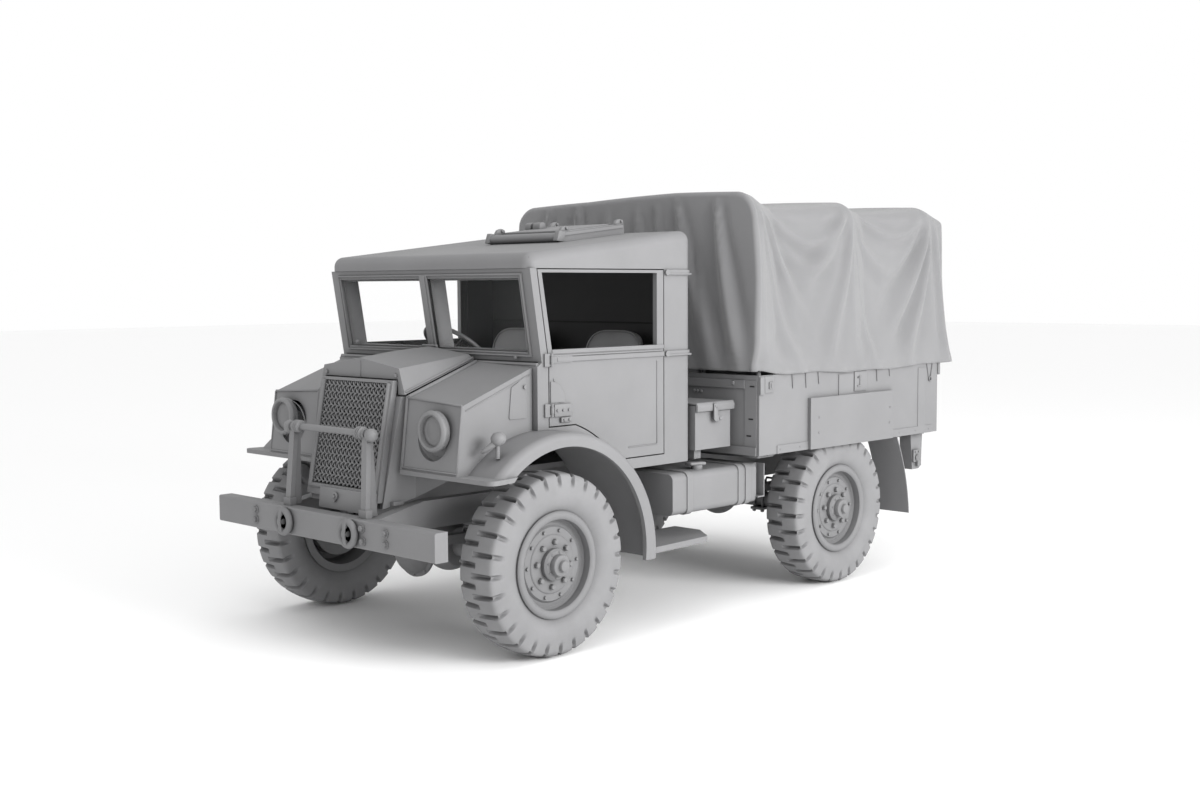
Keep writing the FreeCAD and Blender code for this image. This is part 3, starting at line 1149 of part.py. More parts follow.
def door_trim():
    """Raised lower panel, rails at the belt and below the window, and the cover plate above the lower hinge."""
    skin = along_x(CAB_HALF - EDGE, CAB_HALF + DOOR_SKIN, *door_outline(-DOOR_FLANGE, BELT_RAIL_Z))
    sides = box(CAB_HALF - OVERRUN, CAB_HALF + OVERRUN, DOOR_FRONT + DOOR_FLANGE, DOOR_REAR,
                DOOR_BOTTOM, BELT_RAIL_Z - DOOR_RAIL / 2)
    rail_front = DOOR_FRONT + DOOR_FLANGE * 1.5
    belt = box(CAB_HALF - EDGE, CAB_HALF + DOOR_RAIL, rail_front, DOOR_REAR, BELT_RAIL_Z,
               BELT_RAIL_Z + CAB_RAIL_HEIGHT)
    belt = rounded(belt, DOOR_RAIL * 0.9, ALONG_Y, lambda p: p.x > CAB_HALF)
    ledge = box(CAB_HALF - EDGE, CAB_HALF + DOOR_RAIL / 2, WINDOW_FRONT_LOW, DOOR_REAR,
                WINDOW_LOW - CAB_RAIL_HEIGHT * 0.7, WINDOW_LOW)
    low = DOOR_HINGE_HEIGHTS[0] + DOOR_HINGE_LENGTH + MOVE_GAP
    high = low + HINGE_COVER_HEIGHT
    front = DOOR_FRONT + MOVE_GAP
    rear = front + HINGE_COVER_LENGTH
    turn = HINGE_COVER_LENGTH * math.sqrt(0.5)
    cover = along_x(CAB_HALF - EDGE, CAB_HALF + DOOR_STRAP, (front, low), (rear, low),
                    (rear, high - HINGE_COVER_LENGTH),
                    ((front + turn, high - HINGE_COVER_LENGTH + turn), (front, high)))
    return [skin.common(sides), belt, ledge, cover]


def door():
    x0 = CAB_HALF - DOOR_THICKNESS
    panel = along_x(x0, CAB_HALF, *door_outline(0))
    window = along_x(x0 - OVERRUN, CAB_HALF + OVERRUN, (WINDOW_FRONT_LOW, WINDOW_LOW), (WINDOW_FRONT_TOP, WINDOW_TOP),
                     (WINDOW_REAR, WINDOW_TOP), (WINDOW_REAR, WINDOW_LOW))
    panel = fused(cut(panel, window), *door_trim())
    for z in DOOR_HINGE_HEIGHTS:
        centre = V(DOOR_HINGE_X, DOOR_HINGE_Y, z)
        barrel = hinge_barrel(centre, ALONG_Z, DOOR_HINGE_LENGTH, DOOR_HINGE_RADIUS, DOOR_KNUCKLE_RADIUS)
        strap = box(CAB_HALF, CAB_HALF + DOOR_STRAP, DOOR_HINGE_Y, DOOR_HINGE_Y + DOOR_STRAP_LENGTH,
                    z - DOOR_HINGE_LENGTH / 2, z + DOOR_HINGE_LENGTH / 2)
        reach = ALONG_Z * DOOR_HINGE_LENGTH
        bore = rod(centre - reach, centre + reach, DOOR_KNUCKLE_RADIUS * PIN_SHARE + SEAT_GAP)
        panel = fused(panel, cut(strap, bore), barrel)
    return panel


# Bonnet: ridged top with a front drop panel over the grille, and sides down to the lamp boxes
BONNET_FRONT_Y = -462
BONNET_CORNER_Z = 1498
BONNET_RIDGE_Z = 1545
BONNET_REAR_Y = 16
BONNET_REAR_CORNER_Z = 1556
BONNET_REAR_RIDGE_Z = 1592
BONNET_SKIN = 14


def bonnet():
    foot_half = BOX_INNER_X - MOVE_GAP
    side_low_front = 1362
    side_low_rear = 1530
    front = (V(-BONNET_HALF, BONNET_FRONT_Y, BONNET_CORNER_Z), V(0, BONNET_FRONT_Y, BONNET_RIDGE_Z),
             V(BONNET_HALF, BONNET_FRONT_Y, BONNET_CORNER_Z), V(foot_half, BONNET_FRONT_Y, side_low_front),
             V(-foot_half, BONNET_FRONT_Y, side_low_front))
    rear = (V(-BONNET_HALF, BONNET_REAR_Y, BONNET_REAR_CORNER_Z), V(0, BONNET_REAR_Y, BONNET_REAR_RIDGE_Z),
            V(BONNET_HALF, BONNET_REAR_Y, BONNET_REAR_CORNER_Z), V(foot_half, BONNET_REAR_Y, side_low_rear),
            V(-foot_half, BONNET_REAR_Y, side_low_rear))
    outer = Part.makeLoft([Part.makePolygon(list(front) + [front[0]]), Part.makePolygon(list(rear) + [rear[0]])],
                          True, True)
    inside = Part.makeLoft(
        [Part.makePolygon([V(p.x * INNER_SHARE, p.y + BONNET_SKIN, p.z - BONNET_SKIN) for p in front + (front[0],)]),
         Part.makePolygon([V(p.x * INNER_SHARE, p.y + OVERRUN, p.z - BONNET_SKIN) for p in rear + (rear[0],)])],
        True, True)
    grille_notch = box(-GRILLE_HALF - MOVE_GAP, GRILLE_HALF + MOVE_GAP, BONNET_FRONT_Y - OVERRUN,
                       BONNET_FRONT_Y + OVERRUN * 2, side_low_front - OVERRUN, GRILLE_TOP_Z + MOVE_GAP)
    centre = V(0, BONNET_HINGE_Y, BONNET_HINGE_Z)
    barrel = hinge_barrel(centre, ALONG_X, BONNET_HINGE_LENGTH, BONNET_HINGE_RADIUS, BONNET_KNUCKLE_RADIUS)
    reach = ALONG_X * BONNET_HALF
    bore = rod(centre - reach, centre + reach, BONNET_KNUCKLE_RADIUS * PIN_SHARE + SEAT_GAP)
    return fused(cut(outer, inside, grille_notch, bore), barrel)


INNER_SHARE = 0.955


# Inside the cab: dashboard, seats, steering column and wheel on the right-hand side
SEAT_FROM_DOOR = 450
DRIVER_X = -(CAB_HALF - SEAT_FROM_DOOR)
STEERING_Y = 560
STEERING_Z = 1560
WHEEL_CENTRE = V(DRIVER_X, STEERING_Y, STEERING_Z)
COLUMN_TILT = 52           # degrees of the column above level
STEERING_RADIUS = 205
STEERING_HUB_DEPTH = 40


def column_axis():
    return V(0, math.cos(math.radians(COLUMN_TILT)), math.sin(math.radians(COLUMN_TILT)))


def steering_wheel():
    rim_radius = 13
    hub_radius = 38
    axis = column_axis()
    rim = Part.makeTorus(STEERING_RADIUS, rim_radius, WHEEL_CENTRE, axis)
    hub = rod(WHEEL_CENTRE - axis * STEERING_HUB_DEPTH, WHEEL_CENTRE, hub_radius)
    spoke_radius = 8
    spokes = []
    up = axis.cross(ALONG_X)
    for degrees in (90, 210, 330):
        angle = math.radians(degrees)
        direction = ALONG_X * math.cos(angle) + up * math.sin(angle)
        spokes.append(rod(WHEEL_CENTRE - axis * (STEERING_HUB_DEPTH / 2), WHEEL_CENTRE + direction * STEERING_RADIUS,
                          spoke_radius))
    return fused(rim, hub, *spokes)


def steering_column():
    radius = 24
    axis = column_axis()
    top = WHEEL_CENTRE - axis * (STEERING_HUB_DEPTH + SEAT_GAP)
    foot_z = CAB_FLOOR_BOTTOM + CAB_WALL + SEAT_GAP + radius * axis.y
    foot = top - axis * ((top.z - foot_z) / axis.z)
    return rod(foot, top, radius)


def dashboard():
    top = CAB_BELT - CAB_WALL
    bevel = 70
    bottom = 1312
    front = CAB_FRONT + CAB_WALL + SEAT_GAP
    depth = 110
    half = CAB_HALF - CAB_WALL - DOOR_THICKNESS - MOVE_GAP
    return along_x(-half, half, (front, bottom), (front, top), (front + depth / 2, top), (front + depth, top - bevel),
                   (front + depth, bottom))


def seat(x):
    half = 215
    base_front = 620
    base_rear = 1080
    floor_top = CAB_FLOOR_BOTTOM + CAB_WALL
    box_top = 1150
    pad = 110
    back_thickness = 95
    back_top = 1640
    back_lean = 90
    stand = box(x - half + pad / 2, x + half - pad / 2, base_front + pad, base_rear, floor_top + SEAT_GAP, box_top)
    cushion = box(x - half, x + half, base_front, base_rear, box_top, box_top + pad)
    cushion = rounded(cushion, pad / 3, ALONG_Z)
    back_y = base_rear - back_thickness
    side = along_x(x - half, x + half, (back_y, box_top + pad), (back_y + back_lean, back_top),
                   (back_y + back_lean + back_thickness, back_top), (back_y + back_thickness, box_top + pad))
    arch_z = back_top - half
    shape = along_y(base_front, base_rear + half, (x - half, box_top + pad), (x - half, arch_z),
                    ((x, back_top), (x + half, arch_z)), (x + half, box_top + pad))
    return fused(stand, cushion, side.common(shape))


# Fuel tanks behind the cab doors on each side, with two straps and a filler cap
TANK_FRONT = 1020
TANK_REAR = BODY_FRONT + 125
TANK_TAIL = 58              # bracket behind the tank that carries its rear end
TANK_PLATE = 8
TANK_OUTER_X = 935
TANK_BOTTOM = 604
TANK_TOP = 845


def fuel_tank():
    inner_x = 520
    corner = 38
    tank = box(inner_x, TANK_OUTER_X, TANK_FRONT, TANK_REAR, TANK_BOTTOM, TANK_TOP)
    tank = rounded(tank, corner, ALONG_Y)
    strap_width = 46
    strap = 6
    bands = []
    strap_shares = (0.19, 0.8, 0.89)
    for share in strap_shares:
        middle = TANK_FRONT + (TANK_REAR - TANK_FRONT) * share
        band = box(inner_x - strap, TANK_OUTER_X + strap, middle - strap_width / 2, middle + strap_width / 2,
                   TANK_BOTTOM - strap, TANK_TOP + strap)
        bands.append(rounded(band, corner, ALONG_Y))
        bands.append(box(RAIL_OUTER_X + SEAT_GAP, inner_x, middle - strap_width / 2, middle + strap_width / 2,
                         RAIL_BOTTOM, RAIL_TOP))
    cap_radius = 34
    cap_height = 24
    cap_inset = 82
    cap_share = 0.4
    cap_x = TANK_OUTER_X - cap_inset
    cap_y = TANK_FRONT + (TANK_REAR - TANK_FRONT) * cap_share
    cap = rod(V(cap_x, cap_y, TANK_TOP - strap), V(cap_x, cap_y, TANK_TOP + cap_height), cap_radius)
    plate_x = TANK_OUTER_X - corner
    tail_rear = TANK_REAR + TANK_TAIL
    tail = [box(plate_x - TANK_PLATE, plate_x, TANK_REAR - strap, tail_rear, TANK_BOTTOM + corner, TANK_TOP - strap),
            box(plate_x - TANK_PLATE, TANK_OUTER_X + OVERRUN, tail_rear - TANK_PLATE, tail_rear,
                TANK_BOTTOM + corner, TANK_TOP - strap),
            box(plate_x - TANK_PLATE, TANK_OUTER_X + OVERRUN, TANK_REAR - strap, tail_rear,
                TANK_BOTTOM + corner - TANK_PLATE, TANK_BOTTOM + corner)]
    return fused(tank, cap, *bands, *tail)


# Lockers: a sheet steel box behind each rear cab corner, with a rolled lid hinged at its inner edge
LOCKER_FRONT = CAB_REAR + 10
LOCKER_REAR = BODY_FRONT - 65
LOCKER_OUTER_X = CAB_HALF + 15
LOCKER_WIDTH = 325
LOCKER_INNER_X = LOCKER_OUTER_X - LOCKER_WIDTH
LOCKER_BOTTOM = 960
LOCKER_TOP = 1222
LOCKER_WALL = 6


def locker():
    outer = box(LOCKER_INNER_X, LOCKER_OUTER_X, LOCKER_FRONT, LOCKER_REAR, LOCKER_BOTTOM, LOCKER_TOP)
    inner = box(LOCKER_INNER_X + LOCKER_WALL, LOCKER_OUTER_X - LOCKER_WALL, LOCKER_FRONT + LOCKER_WALL,
                LOCKER_REAR - LOCKER_WALL, LOCKER_BOTTOM + LOCKER_WALL, LOCKER_TOP + OVERRUN)
    bearer_height = 60
    bearer = box(RAIL_OUTER_X - RAIL_WIDTH, LOCKER_OUTER_X - bearer_height, LOCKER_FRONT + bearer_height,
                 LOCKER_FRONT + bearer_height * 2, LOCKER_BOTTOM - bearer_height, LOCKER_BOTTOM)
    post = box(RAIL_OUTER_X - RAIL_WIDTH, RAIL_OUTER_X, LOCKER_FRONT + bearer_height,
               LOCKER_FRONT + bearer_height * 2, RAIL_TOP + SEAT_GAP, LOCKER_BOTTOM)
    centre = locker_hinge_centre()
    leaves = [hinge_pin(centre, ALONG_Y, LID_HINGE_LENGTH, LID_KNUCKLE_RADIUS)]
    width = LID_HINGE_LENGTH * LEAF_WIDTH_SHARE / 2
    for s in (-1, 1):
        middle = centre.y + s * LID_HINGE_LENGTH * LEAF_SHARE
        leaves.append(box(LID_HINGE_X - LID_KNUCKLE_RADIUS, LOCKER_INNER_X, middle - width, middle + width,
                          LOCKER_TOP - LID_HINGE_LENGTH / 2, LOCKER_TOP))
        leaves.append(box(LID_HINGE_X - LID_KNUCKLE_RADIUS, LID_HINGE_X + LID_KNUCKLE_RADIUS / 2,
                          middle - width, middle + width, LOCKER_TOP, LID_HINGE_Z))
    return fused(cut(outer, inner), bearer, post, *leaves)


def locker_hinge_centre():
    return V(LID_HINGE_X, (LOCKER_FRONT + LOCKER_REAR) / 2, LID_HINGE_Z)


LID_LIP = 7
LID_HINGE_RADIUS = 7
LID_KNUCKLE_RADIUS = 5
LID_HINGE_LENGTH = 60
LID_HINGE_X = LOCKER_INNER_X - MOVE_GAP
LID_HINGE_Z = LOCKER_TOP + MOVE_GAP + LID_LIP / 2


def locker_lid():
    skirt = 26
    x0 = LOCKER_INNER_X
    x1 = LOCKER_OUTER_X + LID_LIP + MOVE_GAP
    y0 = LOCKER_FRONT
    y1 = LOCKER_REAR + LID_LIP + MOVE_GAP
    top = LOCKER_TOP + MOVE_GAP + LID_LIP
    plate = box(x0, x1, y0, y1, LOCKER_TOP + MOVE_GAP, top)
    outer_lip = box(x1 - LID_LIP, x1, y0, y1, LOCKER_TOP - skirt, top)
    rear_lip = box(x0 + skirt, x1, y1 - LID_LIP, y1, LOCKER_TOP - skirt, top)
    hasp_width = 34
    hasp_drop = 90
    middle = (LOCKER_FRONT + LOCKER_REAR) / 2
    hasp = box(x1, x1 + LID_LIP, middle - hasp_width / 2, middle + hasp_width / 2, top - hasp_drop, top)
    barrel = hinge_barrel(locker_hinge_centre(), ALONG_Y, LID_HINGE_LENGTH, LID_HINGE_RADIUS, LID_KNUCKLE_RADIUS)
    lid = rounded(fused(plate, outer_lip, rear_lip), LID_LIP * 0.8, ALONG_Y,
                  lambda p: p.x > x1 - EDGE and p.z > top - EDGE)
    return fused(lid, hasp, barrel)


# Cargo body: planked floor on bearers, framed sides, headboard and a drop tailgate
BEARER_SHARES = ((0.097, 0.948), (0.332, 0.664), (0.566, 0.664), (0.8, 0.948), (0.945, 0.948))    # place and half
TAILGATE_HINGE_Z = 1000
TAILGATE_HINGE_RADIUS = 8
TAILGATE_KNUCKLE_RADIUS = 5
TAILGATE_HINGE_LENGTH = 80
TAILGATE_HINGE_X = (-700, 0, 700)
TAILGATE_HINGE_Y = BODY_REAR + MOVE_GAP * 2


def cargo_floor():
    half = BODY_HALF - BODY_SKIRT - SEAT_GAP
    front = BODY_FRONT + BODY_SKIRT + SEAT_GAP
    floor = box(-half, half, front, BODY_REAR - BODY_SKIRT, BED_BOTTOM, BED_BOTTOM + BED_THICKNESS)
    planks = box(-half + PLANK_INSET, half - PLANK_INSET, front, BODY_REAR - BODY_SKIRT, BED_BOTTOM,
                 BED_BOTTOM + BED_THICKNESS + PLANK_RISE)
    runner_width = 60
    runner_x = RAIL_OUTER_X - runner_width
    runners = both(box(runner_x, RAIL_OUTER_X, front, BODY_REAR - BODY_SKIRT * 2,
                       RAIL_TOP + SEAT_GAP, BEARER_BOTTOM))
    bearer_width = 70
    bearers = []
    for place, reach in BEARER_SHARES:
        middle = BODY_FRONT + (BODY_REAR - BODY_FRONT) * place
        bearers.append(box(-BODY_HALF * reach, BODY_HALF * reach, middle - bearer_width / 2, middle + bearer_width / 2,
                           BEARER_BOTTOM, BED_BOTTOM))
    leaves = []
    leaf = 8
    for x in TAILGATE_HINGE_X:
        centre = V(x, TAILGATE_HINGE_Y, TAILGATE_HINGE_Z)
        leaves.append(hinge_pin(centre, ALONG_X, TAILGATE_HINGE_LENGTH, TAILGATE_KNUCKLE_RADIUS))
        for s in (-1, 1):
            middle = x + s * TAILGATE_HINGE_LENGTH * LEAF_SHARE
            width = TAILGATE_HINGE_LENGTH * LEAF_WIDTH_SHARE / 2
            leaves.append(box(middle - width, middle + width, BODY_REAR - BODY_SKIRT * 2,
                              TAILGATE_HINGE_Y + TAILGATE_KNUCKLE_RADIUS, BED_BOTTOM, BED_BOTTOM + leaf))
            leaves.append(box(middle - width, middle + width, TAILGATE_HINGE_Y - TAILGATE_KNUCKLE_RADIUS,
                              TAILGATE_HINGE_Y + TAILGATE_KNUCKLE_RADIUS, BED_BOTTOM, TAILGATE_HINGE_Z))
    return fused(floor, planks, *runners, *bearers, *leaves)


PLANK_INSET = 62            # bare strip along each side, where the hoops stand
PLANK_RISE = 4
BOARD_SHARES = (0.244, 0.706)
STAKE_SHARES = (0.406, 0.486)
STRIP_SHARES = (0.875, 0.92)
SILL_SHARES = (0.087, 0.965)
BOARD_HEIGHT = 320
BOARD_THICKNESS = 24
SILL_HEIGHT = 50
SIDE_STEP = 4               # how far the stakes and the sill stand out


def cargo_side():
    """Left side of the load bed with its blank board, sill, stake and rear strip."""
    def across(shares, depth, low, high):
        ends = [BODY_FRONT + (BODY_REAR - BODY_FRONT) * share for share in shares]
        return box(BODY_HALF - EDGE, BODY_HALF + depth, ends[0], ends[1], low, high)

    panel = box(BODY_HALF - BODY_SKIRT, BODY_HALF, BODY_FRONT, BODY_REAR, BODY_BOTTOM, BODY_TOP)
    board = across(BOARD_SHARES, BOARD_THICKNESS, BODY_BOTTOM, BODY_BOTTOM + BOARD_HEIGHT)
    sill = across(SILL_SHARES, SIDE_STEP, BODY_BOTTOM, BODY_BOTTOM + SILL_HEIGHT)
    stake = across(STAKE_SHARES, SIDE_STEP * 1.5, BODY_BOTTOM, TILT_HEM_Z - MOVE_GAP)
    strip = across(STRIP_SHARES, SIDE_STEP, BODY_BOTTOM, TILT_HEM_Z - MOVE_GAP)
    return fused(panel, board, sill, stake, strip)


def headboard():
    """Front wall of the load bed with a rail along its top and bottom and an angle up each corner."""
    half = BODY_HALF - BODY_SKIRT - SEAT_GAP
    wall = box(-half, half, BODY_FRONT, BODY_FRONT + BODY_SKIRT, BODY_BOTTOM, BODY_TOP)
    rail_top = TILT_HEM_Z - MOVE_GAP
    angle = 90
    rails = [box(-half + angle, half - angle, BODY_FRONT - SIDE_STEP * 2, BODY_FRONT + EDGE,
                 rail_top - SILL_HEIGHT, rail_top),
             box(-half, half, BODY_FRONT - SIDE_STEP * 3, BODY_FRONT + EDGE, BODY_BOTTOM, BODY_BOTTOM + SILL_HEIGHT)]
    corner = box(half - angle, half, BODY_FRONT - SIDE_STEP, BODY_FRONT + EDGE, BODY_BOTTOM, rail_top)
    return fused(wall, *rails, *both(corner))


def tailgate():
    half = BODY_HALF - BODY_SKIRT - MOVE_GAP
    panel = box(-half, half, BODY_REAR - BODY_SKIRT + MOVE_GAP, BODY_REAR + MOVE_GAP, TAILGATE_HINGE_Z, BODY_TOP)
    barrels = [hinge_barrel(V(x, TAILGATE_HINGE_Y, TAILGATE_HINGE_Z), ALONG_X, TAILGATE_HINGE_LENGTH,
                            TAILGATE_HINGE_RADIUS, TAILGATE_KNUCKLE_RADIUS) for x in TAILGATE_HINGE_X]
    face = BODY_REAR + MOVE_GAP
    ribs = [box(x - SILL_HEIGHT / 2, x + SILL_HEIGHT / 2, face - EDGE, face + SIDE_STEP * 1.5,
                TAILGATE_HINGE_Z + SILL_HEIGHT, BODY_TOP - SILL_HEIGHT) for x in TAILGATE_HINGE_X]
    return fused(panel, *barrels, *ribs)


# Tilt: bent tube hoops under a canvas cover that closes the front and opens at the rear
HOOP_RADIUS = 15
HOOP_SHARES = (0.03, 0.5, 0.965)
TILT_CLOTH = 14
TILT_SHOULDER = 155
TILT_CROWN_TURN = 2.5      # degrees that the crown has turned where it meets the corner


def bow(half, top, corner):
    """Points of an arched bow: knee, through and end of the corner arc, crown, as (x, z) on the +X side."""
    end = math.radians(90 - TILT_CROWN_TURN)
    crown = corner + (half - corner) / math.cos(end)
    knee_z = top - corner * math.sin(end) - crown * (1 - math.sin(end))
    middle = end / 2
    return ((half, knee_z),
            (half - corner + corner * math.cos(middle), knee_z + corner * math.sin(middle)),
            (half - corner + corner * math.cos(end), knee_z + corner * math.sin(end)), (0, top))


def tilt_section(inset):
    """Cross-section of the cover as (x, z) points, moved inwards by an inset."""
    hem = BODY_HALF + SEAT_GAP * 4 + TILT_CLOTH - inset
    knee, through, shoulder, crown = bow(TILT_HALF - inset, TILT_TOP - inset, TILT_SHOULDER - inset)
    left = [(-x, z) for x, z in (knee, through, shoulder)]
    ledge_z = BODY_TOP + OVERRUN
    return ((hem, TILT_HEM_Z), (hem, ledge_z), knee, (through, shoulder), (crown, left[2]), (left[1], left[0]),
            (-hem, ledge_z), (-hem, TILT_HEM_Z))


def tilt_canvas():
    outer = along_y(TILT_FRONT - TILT_CLOTH, TILT_REAR, *tilt_section(0))
    inner = along_y(TILT_FRONT, TILT_REAR + OVERRUN, *tilt_section(TILT_CLOTH))
    return cut(outer, inner)


def tilt_hoops():
    hoops = []
    inset = TILT_CLOTH + SEAT_GAP + HOOP_RADIUS
    foot_z = BED_BOTTOM + BED_THICKNESS + SEAT_GAP
    points = bow(TILT_HALF - inset, TILT_TOP - inset, TILT_SHOULDER - inset)
    for share in HOOP_SHARES:
        y = BODY_FRONT + (BODY_REAR - BODY_FRONT) * share
        right = [V(x, y, z) for x, z in points]
        left = [V(-x, y, z) for x, z in points]
        foot = V(right[0].x, y, foot_z)
        path = Part.Wire([
            Part.LineSegment(foot, right[0]).toShape(), Part.Arc(right[0], right[1], right[2]).toShape(),
            Part.Arc(right[2], right[3], left[2]).toShape(), Part.Arc(left[2], left[1], left[0]).toShape(),
            Part.LineSegment(left[0], V(left[0].x, y, foot_z)).toShape()])
        section = Part.Wire([Part.Circle(foot, V(0, 0, 1), HOOP_RADIUS).toShape()])
        hoops.append(path.makePipeShell([section], True, True))
    return hoops


# Rear wheel guards, tail lamp brackets and the towing jaw
GUARD_WIDTH = 247
GUARD_TOP_Y = WHEELBASE + 625
GUARD_MIDDLE_Y = WHEELBASE + 735
GUARD_MIDDLE_Z = 640
GUARD_FOOT_Y = WHEELBASE + 785
GUARD_FOOT_Z = 365
GUARD_SHEET = 8
LAMP_BRACKET_Y = BODY_REAR - 165
LAMP_BRACKET_OUTER_X = BODY_HALF - 105
LAMP_BRACKET_WIDTH = 90
LAMP_BRACKET_LENGTH = 150
LAMP_BRACKET_BOTTOM = 640


def rear_guard():
    outer_x = BODY_HALF - BODY_SKIRT
    top_z = BODY_BOTTOM - SEAT_GAP
    return along_x(outer_x - GUARD_WIDTH, outer_x, (GUARD_TOP_Y, top_z),
                   ((GUARD_MIDDLE_Y, GUARD_MIDDLE_Z), (GUARD_FOOT_Y, GUARD_FOOT_Z)),
                   (GUARD_FOOT_Y + GUARD_SHEET, GUARD_FOOT_Z),
                   ((GUARD_MIDDLE_Y + GUARD_SHEET, GUARD_MIDDLE_Z), (GUARD_TOP_Y + GUARD_SHEET, top_z)))


def rear_lamp():
    """Bracket under the load bed's rear corner with a small square lamp on its outer side."""
    inner_x = LAMP_BRACKET_OUTER_X - LAMP_BRACKET_WIDTH
    rear = LAMP_BRACKET_Y + LAMP_BRACKET_LENGTH
    taper = LAMP_BRACKET_WIDTH / 4
    bracket = along_x(inner_x, LAMP_BRACKET_OUTER_X, (LAMP_BRACKET_Y, BEARER_BOTTOM - SEAT_GAP),
                      (rear, BEARER_BOTTOM - SEAT_GAP), (rear - taper / 2, LAMP_BRACKET_BOTTOM + taper),
                      (rear - taper * 2, LAMP_BRACKET_BOTTOM), (LAMP_BRACKET_Y + taper, LAMP_BRACKET_BOTTOM))
    lamp = box(LAMP_BRACKET_OUTER_X - EDGE, LAMP_BRACKET_OUTER_X + taper, rear - taper * 4, rear - taper * 2,
               LAMP_BRACKET_BOTTOM + taper, LAMP_BRACKET_BOTTOM + taper * 3)
    return fused(bracket, lamp)


HITCH_Z = 725
HITCH_BORE = 16


def tow_jaw():
    reach = 130
    half = 45
    jaw = box(-half, half, RAIL_REAR + SEAT_GAP, RAIL_REAR + reach, HITCH_Z - half, HITCH_Z + half)
    mouth = box(-half - OVERRUN, half + OVERRUN, RAIL_REAR + reach / 3, RAIL_REAR + reach + OVERRUN,
                HITCH_Z - half / 2, HITCH_Z + half / 2)
    bore_y = RAIL_REAR + reach - half
    bore = rod(V(0, bore_y, HITCH_Z - half - OVERRUN), V(0, bore_y, HITCH_Z + half + OVERRUN), HITCH_BORE)
    return cut(jaw, mouth, bore)


export("frame_rails", frame_rails())
export("leaf_springs", *both(leaf_spring(0)), *both(leaf_spring(WHEELBASE)))
export("front_bumper", front_bumper())
export("tow_hooks", *both(tow_hook()))
export("brush_guard", brush_guard())
export("front_axle", front_axle())
export("rear_axle", rear_axle())
export("knuckle_left", knuckle())
export("knuckle_right", mirrored(knuckle()))
export("tie_rod", tie_rod())
for end, axle_y in (("front", 0), ("rear", WHEELBASE)):
    for hand, side in (("left", 1), ("right", -1)):
        export(f"wheel_{end}_{hand}", wheel(side, axle_y))
        export(f"tyre_{end}_{hand}", tyre(side, axle_y))
export("engine_block", engine_block())
export("driveline", driveline())
export("exhaust", exhaust())
export("nose_shell", nose_shell())
export("grille", grille())
export("wing_left", wing())
export("wing_right", mirrored(wing()))
export("lamps", *both(headlamp()), *both(side_lamp()), *both(rear_lamp()))
export("cab_body", cab_body())
export("cab_roof", cab_roof())
export("hatch_lid", hatch_lid())
export("windscreen_frame", windscreen_frame())
export("windscreen_glass", *windscreen_glass())
export("door_left", door())
export("door_right", mirrored(door()))
export("bonnet", bonnet())
export("steering_wheel", steering_wheel())
export("steering_column", steering_column())
export("dashboard", dashboard())
export("seats", seat(DRIVER_X), seat(-DRIVER_X))
export("fuel_tanks", *both(fuel_tank()))
export("lockers", *both(locker()))
export("locker_lid_left", locker_lid())
export("locker_lid_right", mirrored(locker_lid()))
export("cargo_floor", cargo_floor())
export("cargo_sides", *both(cargo_side()))
export("headboard", headboard())
export("tailgate", tailgate())
export("tilt_hoops", *tilt_hoops())
export("tilt_canvas", tilt_canvas())
export("rear_guards", *both(rear_guard()))
export("tow_jaw", tow_jaw())
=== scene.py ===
import math

import bmesh
import bpy
import numpy
from mathutils import Matrix, Vector


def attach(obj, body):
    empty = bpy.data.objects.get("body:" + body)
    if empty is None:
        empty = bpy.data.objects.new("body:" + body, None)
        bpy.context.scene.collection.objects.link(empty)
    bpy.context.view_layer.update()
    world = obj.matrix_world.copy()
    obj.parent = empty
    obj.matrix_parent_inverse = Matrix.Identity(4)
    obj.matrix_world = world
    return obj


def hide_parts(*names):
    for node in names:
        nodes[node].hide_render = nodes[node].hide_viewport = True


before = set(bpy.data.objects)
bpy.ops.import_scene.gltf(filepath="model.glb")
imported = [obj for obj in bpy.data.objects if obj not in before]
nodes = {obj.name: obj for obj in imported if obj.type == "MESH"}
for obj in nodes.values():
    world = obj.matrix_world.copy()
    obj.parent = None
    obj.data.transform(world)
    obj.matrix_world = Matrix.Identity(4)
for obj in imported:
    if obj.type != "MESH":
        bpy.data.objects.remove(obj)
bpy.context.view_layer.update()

# Studio
# A pale floor and even soft light, brightest on the truck's left side, as an unpainted display model is shown.
# The camera stands ahead of the front left wing, a little above a standing person's eye.
floor_mesh = bpy.data.meshes.new("floor")
floor_mesh.from_pydata([(-60, -60, 0), (60, -60, 0), (60, 60, 0), (-60, 60, 0)], [], [(0, 1, 2, 3)])
studio_floor = bpy.data.objects.new("floor", floor_mesh)
bpy.context.scene.collection.objects.link(studio_floor)
floor_paint = bpy.data.materials.new("floor_paint")
floor_paint.use_nodes = True
floor_paint.node_tree.nodes["Principled BSDF"].inputs["Base Color"].default_value = (0.95, 0.95, 0.95, 1)
floor_paint.node_tree.nodes["Principled BSDF"].inputs["Roughness"].default_value = 0.9
floor_mesh.materials.append(floor_paint)

world = bpy.data.worlds.new("studio")
bpy.context.scene.world = world
world.use_nodes = True
world.node_tree.nodes["Background"].inputs["Color"].default_value = (1.0, 1.0, 1.0, 1)
world.node_tree.nodes["Background"].inputs["Strength"].default_value = 1.0
bpy.context.scene.view_settings.view_transform = "Standard"


def softbox(name, place, aim, size, power):
    light = bpy.data.lights.new(name, "AREA")
    light.shape = "RECTANGLE"
    light.size, light.size_y = size
    light.energy = power
    lamp = bpy.data.objects.new(name, light)
    bpy.context.scene.collection.objects.link(lamp)
    lamp.location = place
    lamp.rotation_euler = (Vector(aim) - Vector(place)).to_track_quat("-Z", "Y").to_euler()


